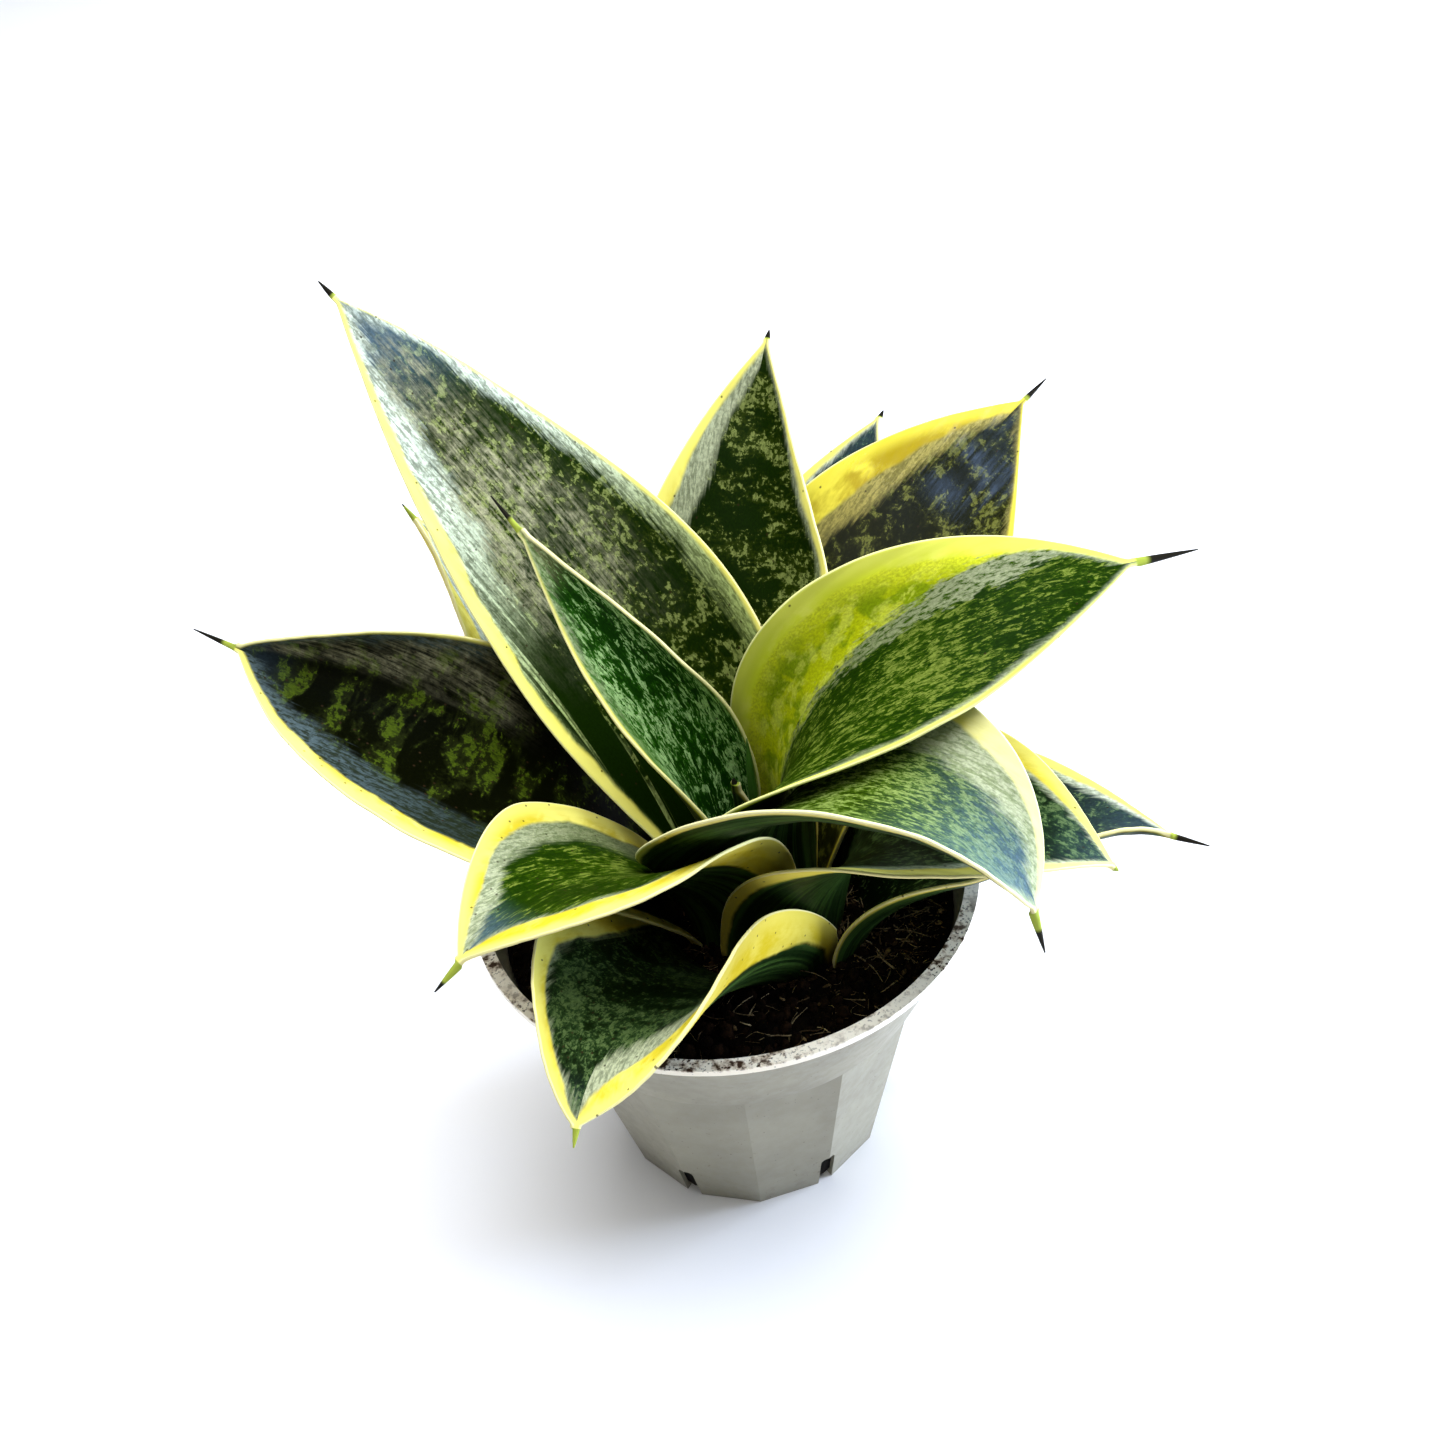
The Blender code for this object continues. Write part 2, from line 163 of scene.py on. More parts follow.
def rolled(rings: list[np.ndarray] | np.ndarray,
           attributes: dict[str, np.ndarray] | None = None) -> bmesh.types.BMesh:
    """Roll a flat grid into one closed tube through rings of points, with its ends filled.

    Args:
        rings: each ring's points in millimetres; its last point is moved onto its first.
        attributes: values for each point, rows x columns x 3, by attribute name.

    Returns:
        The tube as a bmesh, in metres.
    """
    rings = np.array(rings)
    rings[:, -1] = rings[:, 0]
    rows, columns = rings.shape[0] - 1, rings.shape[1] - 1
    mesh = bmesh.new()
    mesh.loops.layers.uv.new("unrolled")
    layers = {key: mesh.verts.layers.float_vector.new(key) for key in attributes or {}}
    bmesh.ops.create_grid(mesh, x_segments=columns, y_segments=rows, size=1.0, calc_uvs=True)
    seam = []
    for vert in mesh.verts:
        column = round((vert.co.x + 1) / 2 * columns)
        row = round((vert.co.y + 1) / 2 * rows)
        vert.co = rings[row, column] * MM
        for key, layer in layers.items():
            vert[layer] = Vector(attributes[key][row, column])
        if column in (0, columns):
            seam.append(vert)
    bmesh.ops.remove_doubles(mesh, verts=seam, dist=1e-8)
    open_edges = [edge for edge in mesh.edges if edge.is_boundary]
    ends = bmesh.ops.holes_fill(mesh, edges=open_edges, sides=0)["faces"]
    bmesh.ops.triangulate(mesh, faces=ends)
    bmesh.ops.recalc_face_normals(mesh, faces=mesh.faces[:])
    return mesh


class Shading:
    """A Principled material in the making, on which patterns and coats of colour are laid."""

    def __init__(self, name: str, roughness: float, ior: float = 1.45, specular: float = 0.5) -> None:
        """Start an empty material.

        Args:
            name: the material's name.
            roughness: its starting roughness.
            ior: its index of refraction.
            specular: how strongly it mirrors; 0.5 is what its index gives.
        """
        self.material = bpy.data.materials.new(name)
        self.material.use_nodes = True
        self.tree = self.material.node_tree
        self.shader = self.tree.nodes["Principled BSDF"]
        for socket, value in (("Roughness", roughness), ("IOR", ior), ("Specular IOR Level", specular)):
            self.shader.inputs[socket].default_value = value

    def add(self, kind: str, inputs: Inputs, output: int | str = 0, **settings: object) -> Socket:
        """Add one shader node with its settings and links.

        Args:
            kind: Blender's name for the node's type.
            inputs: a socket to link or a value to set, by the input's name or number.
            output: the output to hand back, by name or number.
            settings: the node's own properties.

        Returns:
            The chosen output socket.
        """
        node = self.tree.nodes.new(kind)
        for name, value in settings.items():
            setattr(node, name, value)
        for key, value in inputs.items():
            if isinstance(value, Socket):
                self.tree.links.new(value, node.inputs[key])
            else:
                node.inputs[key].default_value = value
        return node.outputs[output]

    def lead(self, pattern: Socket, socket: str) -> None:
        """Link a pattern to one of the shader's own sockets."""
        self.tree.links.new(pattern, self.shader.inputs[socket])

    def clouds(self, sizes: tuple[float, float, float], detail: float, roughness: float = 0.5,
               shift: float = 0.0) -> Socket:
        """Lay a cloudy pattern through a piece, in its Object coordinates.

        Args:
            sizes: how large its clouds are along x, y and z.
            detail: how many finer layers it has.
            roughness: how strong they are.
            shift: sets it apart from the piece's other patterns.

        Returns:
            The pattern, about 0.3 to 0.7.
        """
        scales = tuple(1 / (size * MM) for size in sizes)
        scaled = self.add(VECTOR, {0: self.add(OBJECT, {}, "Object"), 1: scales}, operation="MULTIPLY")
        moved = self.add(VECTOR, {0: scaled, 1: (shift,) * 3}, operation="ADD")
        look = {"Detail": detail, "Roughness": roughness}
        return self.add(NOISE, {"Vector": moved, "Scale": 1.0, **look})

    def weigh(self, *parts: tuple[Value, float]) -> Socket:
        """Add up patterns, each with its weight.

        Args:
            parts: pairs of a pattern and its weight.

        Returns:
            The weighted sum.
        """
        total = 0.0
        for pattern, weight in parts:
            total = self.add(MATH, {0: pattern, 1: weight, 2: total}, operation="MULTIPLY_ADD")
        return total

    def overlap(self, *masks: Value) -> Socket:
        """Find where several masks hold at once.

        Args:
            masks: the masks, 0 to 1.

        Returns:
            Their product.
        """
        whole = masks[0]
        for mask in masks[1:]:
            whole = self.add(MATH, {0: whole, 1: mask}, operation="MULTIPLY")
        return whole

    def coated(self, ground: Colour, *coats: tuple[Value, Colour]) -> Socket:
        """Lay coats of colour over a ground.

        Args:
            ground: the first colour.
            coats: pairs of a mask and the colour that it lets through, the lowest first.

        Returns:
            The finished colour.
        """
        for mask, coat in coats:
            below, above = (linear(tone) if isinstance(tone, str) else tone for tone in (ground, coat))
            sockets = {MIX_FACTOR: mask, MIX_A: below, MIX_B: above}
            ground = self.add(MIX, sockets, MIX_RESULT, data_type="RGBA")
        return ground


@dataclass(frozen=True)
class Crown:
    """Where the leaves stand: the rootstock's place and size, read from the frame."""

    x: float
    y: float
    foot_z: float              # level where the leaves begin
    root_z: float              # underside of the rootstock
    root_top_z: float
    root_radius: float

    @classmethod
    def from_frame(cls) -> "Crown":
        """Read the crown's place from the rootstock and the rolled leaf in its middle.

        Returns:
            The crown.
        """
        low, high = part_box("rootstock")
        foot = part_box("leaf_spike")[0]
        middle = (low + high) / 2
        radius = (high.x - low.x) / 2
        return cls(middle.x / MM, middle.y / MM, foot.z / MM, low.z / MM, high.z / MM, radius / MM)


@dataclass(frozen=True)
class LeafForm:
    """How one leaf grows out of the crown, by the same rule as its solid.

    Each tuple gives its value at evenly spaced stations, the first at the leaf's foot and the last at
    its tip, except that the cups begin a third of the way up: at the foot a leaf clasps the crown.
    """

    foot: float                # radius of the foot round the crown's axis
    length: float              # blade, without its spine
    foot_width: float
    width: float
    widest: float              # where it is widest, as a share of its length
    fullness: float            # below 1.6 it narrows early, above 1.9 it stays full to the tip
    heading: tuple[float, ...]     # compass direction, anticlockwise from +X
    rise: tuple[float, ...]        # slope above the horizon
    twist: tuple[float, ...]       # turn about its own midrib
    cup_left: tuple[float, ...]    # how far the left half curls up, seen looking along the leaf
    cup_right: tuple[float, ...]
    spine: float               # length of the awn at the tip


class CoreTone(Enum):
    """The green of a leaf's middle, by age: its dark ground, its soft patches and its lace."""

    YOUNG = ("0F3403", "2A640C", "A4CA86")
    FRESH = ("152E00", "2F4A02", "84943C")
    BRIGHT = ("203402", "445E0C", "9AAE5C")
    MATURE = ("0D1E00", "253203", "7C8848")
    DUSKY = ("151700", "2F3206", "6A6E28")
    OLD = ("050700", "181E04", "42540C")
    TEAL = ("0C1905", "243A1A", "687F4A")


class BandTone(Enum):
    """The pale band between a leaf's yellow margin and its green, near the foot and near the tip."""

    SILVER = ("9CAC66", "CED9C4")
    GREY = ("7C865A", "AEB693")
    GREEN = ("5C8838", "96A87C")
    OLIVE = ("7A6E28", "A79C50")
    # its blue-grey is partly the band's own colour, partly a painted sky sheen
    BLUE_SHEEN = ("24302A", "475658")


class MarginTone(Enum):
    """The yellow of a leaf's margin: at its edge, and in patches further in."""

    LEMON = ("F2EA74", "D2C02C")
    CREAM = ("F1EDA0", "E0D968")
    GOLDEN = ("E4D63E", "AE9810")
    LIME = ("ECF062", "DCE634")


class SheenAndBloomTone(Enum):
    """The haze near a leaf's tip: partly its waxy bloom, partly a painted reflection of the sky."""

    # mostly a painted reflection of the sky
    BLUE_SHEEN = "526A7A"
    BROWN = "8C8462"


@dataclass(frozen=True)
class Marking:
    """How one leaf is coloured. Left and right are seen looking along the leaf, foot to tip."""

    core: CoreTone
    yellow_left: float         # width of the yellow margin
    yellow_right: float
    band_left: float           # width of the pale band inside it
    band_right: float
    band: BandTone = BandTone.SILVER
    margin: MarginTone = MarginTone.LEMON
    feather: float = 1.0       # how far the band frays into the green
    band_flecks: float = 0.5   # how strongly the green shows in flecks of the band
    taper_from: float = 0.7    # where margin and band begin to narrow, as a share of the length
    lace: float = 0.4          # about how much of the middle is mottled
    lace_strength: float = 0.8
    grain: float = 2.4         # size of the lace's patches across the leaf
    dash: float = 3.2          # and along it
    swirl: float = 0.5         # how far they are swirled
    crossbands: float = 0.3    # how far the lace gathers in crossbands, 0 to 1
    band_spacing: float = 14.0
    stripes: float = 0.0       # dark lengthwise stripes up the left half, from the foot
    veil: float = 0.0          # a pale, mottled coat on the upper half
    veil_at: float = -0.05     # where the coat lies, from -1 at the left margin to 1
    veil_reach: float = 0.8    # how far it spreads to either side
    sheen_and_bloom: float = 0.3         # haze near the tip: partly waxy bloom, partly a painted sky sheen
    sheen_and_bloom_from: float = 0.8    # where it begins, as a share of the leaf's length
    sheen_and_bloom_tone: SheenAndBloomTone = SheenAndBloomTone.BLUE_SHEEN
    lime_border: float = 0.0   # a wide lime field on the left ends this far from the midrib
    specks: float = 0.03       # share of the cells, about 2 mm wide, that hold a brown speck
    polish: float = 0.0        # how much glossier the leaf is near its tip
    awn_radius: float = 0.75
    awn_green: float = 0.1     # share of the awn that is still yellow-green before it turns dark


@dataclass(frozen=True)
class LeafBuild:
    """Thicknesses, slight unevenness and mesh density that all leaves share."""

    foot_thickness: float = 2.1
    tip_thickness: float = 1.4
    margin_thickness: float = 0.8
    spine_radius: float = 0.75
    spine_tip_radius: float = 0.15
    spine_taper: float = 1.3   # above 1 the awn keeps its thickness longer
    awn_short: float = 0.2     # keeps the awn's dry point inside its solid
    awn_margin: float = 0.4    # how far from the margin the awn's skin counts as lying
    tightest_cup: float = 115.0
    flattest_cup_rad: float = 0.001
    level_step: float = 0.02   # least rise of each row above the level foot
    waves: tuple[tuple[float, float], ...] = ((34.0, 0.16), (21.0, 0.1), (13.0, 0.06))   # length, height
    wave_slant_rad: float = 0.6    # how far a wave may turn from lying straight across
    waves_from: float = 0.3    # where the waves begin, as a share of the leaf's length
    waves_grow: float = 0.3    # over which share they reach their height
    rib_spacing: float = 3.1
    rib_height: float = 0.045
    ribs_grow: float = 0.2
    calm_tip: float = 0.1      # share at the tip over which waves and ribs die away
    rows: int = 120
    spine_rows: int = 10
    columns: int = 96


class Leaf:
    """One leaf: a thick strap with rounded margins and a round awn at its tip."""

    def __init__(self, name: str, form: LeafForm, marking: Marking, crown: Crown, seed: int) -> None:
        """Keep the leaf's form and marking.

        Args:
            name: the CAD node's name.
            form: the shape.
            marking: the colours.
            crown: where it grows from.
            seed: sets this leaf's mottling and ripples apart from the others'.
        """
        self.name = name
        self.form = form
        self.marking = marking
        self.crown = crown
        self.seed = seed
        self.sizes = LeafBuild(spine_radius=marking.awn_radius)

    @staticmethod
    def through(values: tuple[float, ...], share: np.ndarray) -> np.ndarray:
        """The smooth curve through evenly spaced values, read at shares of the way along."""
        stations = np.linspace(0, 1, len(values))
        return np.polynomial.Polynomial.fit(stations, values, len(values) - 1)(share)

    def half_width(self, share: np.ndarray) -> np.ndarray:
        """Find half the blade's width.

        Args:
            share: shares of the blade's length.

        Returns:
            Half the width at each of them.
        """
        form = self.form
        below = np.clip((form.widest - share) / form.widest, 0, 1)
        above = np.clip((share - form.widest) / (1 - form.widest), 0, 1)
        lower = form.width - (form.width - form.foot_width) * below ** 2
        upper = form.width * (1 - above ** form.fullness)
        return np.maximum(np.where(share > form.widest, upper, lower) / 2, self.sizes.spine_radius)

    def midrib(self, share: np.ndarray) -> tuple[np.ndarray, np.ndarray, np.ndarray, np.ndarray]:
        """Follow the midrib from the foot.

        Args:
            share: shares of the blade's length.

        Returns:
            At each of them the point, the leaf's direction, its right hand and its upper side.
        """
        form = self.form
        heading = np.radians(self.through(form.heading, share))
        rise = np.radians(self.through(form.rise, share))
        twist = np.radians(self.through(form.twist, share))[:, None]
        level_x, level_y = np.cos(rise) * np.cos(heading), np.cos(rise) * np.sin(heading)
        along = np.stack([level_x, level_y, np.sin(rise)], axis=1)
        level = np.stack([np.sin(heading), -np.cos(heading), 0 * heading], axis=1)
        upright = np.cross(level, along)
        right = level * np.cos(twist) + upright * np.sin(twist)
        up = upright * np.cos(twist) - level * np.sin(twist)
        steps = (along[1:] + along[:-1]) / 2 * np.diff(share)[:, None] * form.length
        foot = [
            self.crown.x + form.foot * math.cos(heading[0]),
            self.crown.y + form.foot * math.sin(heading[0]),
            self.crown.foot_z,
        ]
        points = foot + np.concatenate([np.zeros((1, 3)), np.cumsum(steps, axis=0)])
        return points, along, right, up

    def cups(self, share: np.ndarray) -> tuple[np.ndarray, np.ndarray]:
        """Find how far each half curls up.

        Args:
            share: shares of the blade's length.

        Returns:
            The left and right curls, in radians from the midrib to the margin.
        """
        clasp = min(math.degrees(self.form.foot_width / 2 / self.form.foot), self.sizes.tightest_cup)
        left = self.through((clasp,) + self.form.cup_left, share)
        right = self.through((clasp,) + self.form.cup_right, share)
        return np.radians(left), np.radians(right)

    def blade(self) -> tuple[np.ndarray, np.ndarray, np.ndarray]:
        """Rings round the blade from foot to tip.

        Returns:
            The points, their millimetre coordinates on the leaf (across, along, underside) and their
            shares (across from -1 at the left margin, along, millimetres from the margin).
        """
        sizes = self.sizes
        share = np.linspace(0, 1, sizes.rows + 1)
        turn = np.linspace(0, math.tau, sizes.columns + 1)
        across = -np.cos(turn)[None, :]
        underside = (np.sin(turn) < -1e-9)[None, :]
        points, _, right, up = self.midrib(share)
        half = self.half_width(share)[:, None]
        left_cup, right_cup = self.cups(share)
        cup = np.where(across < 0, left_cup[:, None], right_cup[:, None])
        cup = np.where(np.abs(cup) < sizes.flattest_cup_rad, sizes.flattest_cup_rad, cup)
        bend = cup * np.abs(across)
        out = np.sign(across) * half * np.sin(bend) / cup
        lift = half * (1 - np.cos(bend)) / cup
        face = points[:, None] + right[:, None] * out[..., None] + up[:, None] * lift[..., None]
        lean = (np.sign(across) * np.sin(bend))[..., None]
        normal = up[:, None] * np.cos(bend)[..., None] - right[:, None] * lean
        body = sizes.foot_thickness + (sizes.tip_thickness - sizes.foot_thickness) * share[:, None]
        full = sizes.margin_thickness + (body - sizes.margin_thickness) * (1 - across ** 2)
        inward = half * (1 - np.abs(across))
        roll = np.clip(inward / (sizes.margin_thickness / 2), 0, 1)
        thickness = full * np.sqrt(1 - (1 - roll) ** 2)
        drop = np.where(underside, (full + thickness) / 2, (full - thickness) / 2)
        ripple = self.ripple(share, across, half)
        rings = face - normal * (drop - ripple)[..., None]
        along = share[:, None] * self.form.length + 0 * across
        on_leaf = np.stack([across * half, along, underside + 0 * half], axis=-1)
        shares = np.stack([across + 0 * half, share[:, None] + 0 * across, inward], axis=-1)
        return rings, on_leaf, shares

    def ripple(self, share: np.ndarray, across: np.ndarray, half: np.ndarray) -> np.ndarray:
        """Draw a slight unevenness of the whole blade: long ribs and a few broad waves.

        Args:
            share: shares of the blade's length.
            across: shares of half its width, a row.
            half: half its width at each share of the length, a column.

        Returns:
            The heights in millimetres, rows x columns.
        """
        sizes = self.sizes
        draw = np.random.default_rng(self.seed)
        height = np.zeros((len(share), across.shape[1]))
        along = share[:, None] * self.form.length
        sideways = across * half
        for length, size in sizes.waves:
            direction = draw.uniform(-sizes.wave_slant_rad, sizes.wave_slant_rad)
            phase = draw.uniform(0, math.tau)
            travelled = along * math.cos(direction) + sideways * math.sin(direction)
            height += size * np.sin(math.tau * travelled / length + phase)
        ribs = sizes.rib_height * np.sin(math.tau * sideways / sizes.rib_spacing + draw.uniform(0, math.tau))
        clear_of_crown = np.clip((share[:, None] - sizes.waves_from) / sizes.waves_grow, 0, 1)
        clear_of_foot = np.clip(share[:, None] / sizes.ribs_grow, 0, 1)
        clear_of_tip = np.clip((1 - share[:, None]) / sizes.calm_tip, 0, 1)
        return (height * clear_of_crown + ribs * clear_of_foot) * clear_of_tip

    def awn(self) -> tuple[np.ndarray, np.ndarray, np.ndarray]:
        """Draw round rings of the awn that runs on from the blade's tip.

        Returns:
            The points, their millimetre coordinates and their shares, as for the blade.
        """
        sizes = self.sizes
        points, along, right, up = self.midrib(np.linspace(0, 1, sizes.rows + 1))
        turn = np.linspace(0, math.tau, sizes.columns + 1)
        underside = np.sin(turn) < -1e-9
        rings, on_leaf, shares = [], [], []
        for row in range(1, sizes.spine_rows + 1):
            share = row / sizes.spine_rows
            narrowing = (sizes.spine_tip_radius - sizes.spine_radius) * share ** sizes.spine_taper
            radius = sizes.spine_radius + narrowing
            reach = (self.form.spine - sizes.awn_short) * share
            middle = points[-1] + along[-1] * reach - up[-1] * sizes.spine_radius
            around = np.outer(-np.cos(turn), right[-1]) + np.outer(np.sin(turn), up[-1])
            rings.append(middle + radius * around)
            over = np.full_like(turn, self.form.length + self.form.spine * share)
            on_leaf.append(np.stack([-np.cos(turn) * radius, over, underside], axis=-1))
            inward = np.full_like(turn, sizes.awn_margin)
            shares.append(np.stack([-np.cos(turn), np.full_like(turn, 1 + share), inward], axis=-1))
        return np.array(rings), np.array(on_leaf), np.array(shares)

    def build(self, material: bpy.types.Material, slot: str) -> bpy.types.Object:
        """Make the leaf with its foot cut level, dress it and stand it in for its CAD node.

        Args:
            material: its skin.
            slot: the record's material slot.

        Returns:
            slot: not used.
        """
        blade, blade_mm, blade_share = self.blade()
        awn, awn_mm, awn_share = self.awn()
        foot_z = self.crown.foot_z
        least = foot_z + self.sizes.level_step * np.arange(1, len(blade) + 1)[:, None]
        blade[..., 2] = np.maximum(blade[..., 2], least)
        foot = blade[:1].copy()
        foot[..., 2] = foot_z
        attributes = {
            LEAF_MM: np.concatenate([blade_mm[:1], blade_mm, awn_mm]),
            LEAF_SHARE: np.concatenate([blade_share[:1], blade_share, awn_share]),
        }
        mesh = rolled(np.concatenate([foot, blade, awn]), attributes)
        return place(mesh, self.name + "_blade", material, self.name)


class LeafSkin(Shading):
    """Leaf epidermis under a thin wax cuticle, as grown: smooth, with a soft satin gloss.

    The margin has no green, so it is yellow; next to it the green lies under a pale layer and looks
    silvery; the middle is deep green with paler lace that gathers in ragged crossbands. All patterns
    follow the leaf's own millimetres, so they bend with the blade.
    """

    RIM = "F3EFC4"
    LIME_EDGE = "E4EA34"
    LIME = "B2BC0E"
    LIME_DEEP = "768E0A"
    LIME_PALE = "CCD44E"
    VEIL = "B0AE88"
    # painted shade: the underside's colours are darkened for the shade beneath the leaves
    SHADED_UNDERSIDE = "10200A"
    SHADED_UNDERSIDE_STRIPE = "4A6A2C"
    SHADED_UNDERSIDE_YELLOW = "B49A1C"
    AWN_GREEN = "93A03C"
    AWN_DARK = "1D1B14"
    SPECK = "2A1E10"
    SATIN = 0.45               # roughness of the wax
    SHEEN = 0.06               # how weakly the wax mirrors, so that the greens stay deep
    SHEEN_POLISHED = 0.45      # what a polished leaf adds to it
    TAPER_AT_TIP = 0.28        # width of margin and band there, as a share of their full width
    TAPER_AT_FOOT = 0.6
    SPECK_CELL = (1.9, 2.4)    # each cell, across and along the leaf, has room for one speck
    RIB_DEPTH = 0.12           # of the fine lengthwise ribs, drawn as coarse as they need to show
    APART_BELOW = 1.7          # shifts every pattern on the underside
    APART_BY_SEED = (7.3, 3.1) # and from leaf to leaf

    def __init__(self, name: str, marking: Marking, seed: int) -> None:
        """Start the material and read where each point lies on the leaf.

        Args:
            name: the leaf's name.
            marking: its colours.
            seed: sets its pattern apart from the others'.
        """
        sheen = self.SHEEN + self.SHEEN_POLISHED * marking.polish
        super().__init__("waxed_leaf_skin_" + name, self.SATIN, specular=sheen)
        self.marking = marking
        self.seed = seed
        self.dark, self.soft, self.light = marking.core.value
        self.band_low, self.band_high = marking.band.value
        self.edge_yellow, self.deep_yellow = marking.margin.value
        self.on_leaf = self.add(ATTRIBUTE, {}, "Vector", attribute_name=LEAF_MM)
        shares = self.add(ATTRIBUTE, {}, "Vector", attribute_name=LEAF_SHARE)
        self.sideways_mm, self.along_mm, self.underside = (
            self.add(SPLIT, {0: self.on_leaf}, axis) for axis in range(3)
        )
        self.across, self.along, self.margin_mm = (self.add(SPLIT, {0: shares}, axis) for axis in range(3))
        self.is_left = self.add(MATH, {0: self.across, 1: 0.0}, operation="LESS_THAN")
        self.streak = self.grain(0.9, 26.0)                    # long fine lines
        self.fleck = self.grain(0.7, 2.4, 3.0, 0.4, 1.0)       # spots of about a millimetre
        self.cluster = self.grain(5.0, 7.0, 2.0, 0.6, 2.0)     # patches like a fingertip
        self.zone = self.grain(14.0, 24.0, 1.0, 0.4, 4.0)      # slow change over the whole leaf

    def grain(self, across_mm: float, along_mm: float, detail: float = 2.0, distortion: float = 0.0,
              shift: float = 0.0) -> Socket:
        """Lay a cloudy pattern on the leaf.

        Args:
            across_mm: size of its clouds across the leaf.
            along_mm: their size along it.
            detail: how many finer layers it has.
            distortion: how far it is swirled.
            shift: sets it apart from the leaf's other patterns.

        Returns:
            The pattern, about 0.3 to 0.7.
        """
        scales = (1 / across_mm, 1 / along_mm, self.APART_BELOW)
        scaled = self.add(VECTOR, {0: self.on_leaf, 1: scales}, operation="MULTIPLY")
        sideways, onwards = (self.seed * step for step in self.APART_BY_SEED)
        away = (sideways + shift, onwards, shift)
        moved = self.add(VECTOR, {0: scaled, 1: away}, operation="ADD")
        look = {"Detail": detail, "Roughness": 0.65, "Distortion": distortion}
        return self.add(NOISE, {"Vector": moved, "Scale": 1.0, **look})

    def build(self) -> bpy.types.Material:
        """Draw the node tree.

        Returns:
            The finished material.
        """
        marking = self.marking
        in_yellow, in_band = self.borders()
        face = self.coated(self.core(), (in_band, self.pale_band()))
        if marking.lime_border:
            face = self.lime_field(face)
        if marking.stripes:
            face = self.dark_stripes(face)
        if marking.veil:
            face = self.pale_veil(face)
        # the underside is coloured near black, a painted shade
        face = self.coated(self.pored(face), (self.underside, self.back()), (in_yellow, self.yellow()))
        skin = self.awn(self.rim_and_specks(face))
        self.lead(skin, "Base Color")
        self.cuticle()
        return self.material

    def borders(self) -> tuple[Socket, Socket]:
        """Find where the yellow margin and the pale band lie.

        Returns:
            Two masks, in the yellow, and in the yellow or the pale band. Their borders wander slowly,
            narrow to both ends and fray in lengthwise streaks.
        """
        marking = self.marking
        start, least = marking.taper_from, self.TAPER_AT_TIP
        to_tip = self.add(RANGE, {0: self.along, 1: start, 3: 1.0, 4: least}, **EASED)
        to_foot = self.add(RANGE, {0: self.along, 2: 0.35, 3: self.TAPER_AT_FOOT}, **EASED)
        yellow = self.add(RANGE, {0: self.is_left, 3: marking.yellow_right, 4: marking.yellow_left})
        yellow = self.overlap(yellow, to_tip, to_foot)
        pale = self.add(RANGE, {0: self.is_left, 3: marking.band_right, 4: marking.band_left})
        inner = self.weigh((yellow, 1.0), (self.overlap(pale, to_tip, to_foot), 1.0))
        wander = self.grain(40.0, 16.0, 1.0, 0.0, 5.0)
        calm = self.weigh((wander, 3.2), (self.cluster, 1.2), (self.streak, 0.7), (1.0, -2.55))
        loose = self.weigh((calm, 1.0), (self.streak, 3.0), (1.0, -1.5))
        away = self.add(RANGE, {0: self.margin_mm, 1: 0.3, 2: 3.5}, **EASED)
        yellow_from = self.weigh((self.margin_mm, 1.0), (self.overlap(calm, away), 1.0), (yellow, -1.0))
        in_yellow = self.add(RANGE, {0: yellow_from, 1: -0.5, 2: 0.7, 3: 1.0, 4: 0.0}, **EASED)
        fray = self.overlap(loose, away)
        core_from = self.weigh((self.margin_mm, 1.0), (fray, marking.feather), (inner, -1.0))
        softer = 0.4 + 0.6 * marking.feather
        in_band = self.add(RANGE, {0: core_from, 1: -0.9 * softer, 2: 1.3 * softer, 3: 1.0, 4: 0.0}, **EASED)
        return in_yellow, in_band

    def yellow(self) -> Socket:
        """The margin: pale at the edge, deeper in patches away from it, and darker underneath as painted
        shade.

        Returns:
            Its colour.
        """
        inward = self.add(RANGE, {0: self.margin_mm, 1: 0.8, 2: 5.0}, **EASED)
        clouds = self.weigh((self.zone, 0.5), (self.cluster, 0.35), (self.fleck, 0.15))
        patches = self.add(RANGE, {0: clouds, 1: 0.38, 2: 0.58}, **EASED)
        # painted shade: the margin's underside is darkened
        below = self.add(MATH, {0: self.underside, 1: 0.6}, operation="MULTIPLY")
        deeper = self.overlap(inward, patches)
        return self.coated(self.edge_yellow, (deeper, self.deep_yellow), (below, self.SHADED_UNDERSIDE_YELLOW))

    def pale_band(self) -> Socket:
        """The band inside the margin: greener near the foot, with flecks of the core's green.

        Returns:
            Its colour.
        """
        up_leaf = self.add(RANGE, {0: self.along, 1: 0.35, 2: 0.85}, **EASED)
        flecks = self.weigh((self.fleck, 0.6), (self.streak, 0.4))
        green = self.add(RANGE, {0: flecks, 1: 0.42, 2: 0.56, 3: self.marking.band_flecks, 4: 0.0}, **EASED)
        return self.coated(self.band_low, (up_leaf, self.band_high), (green, self.soft))

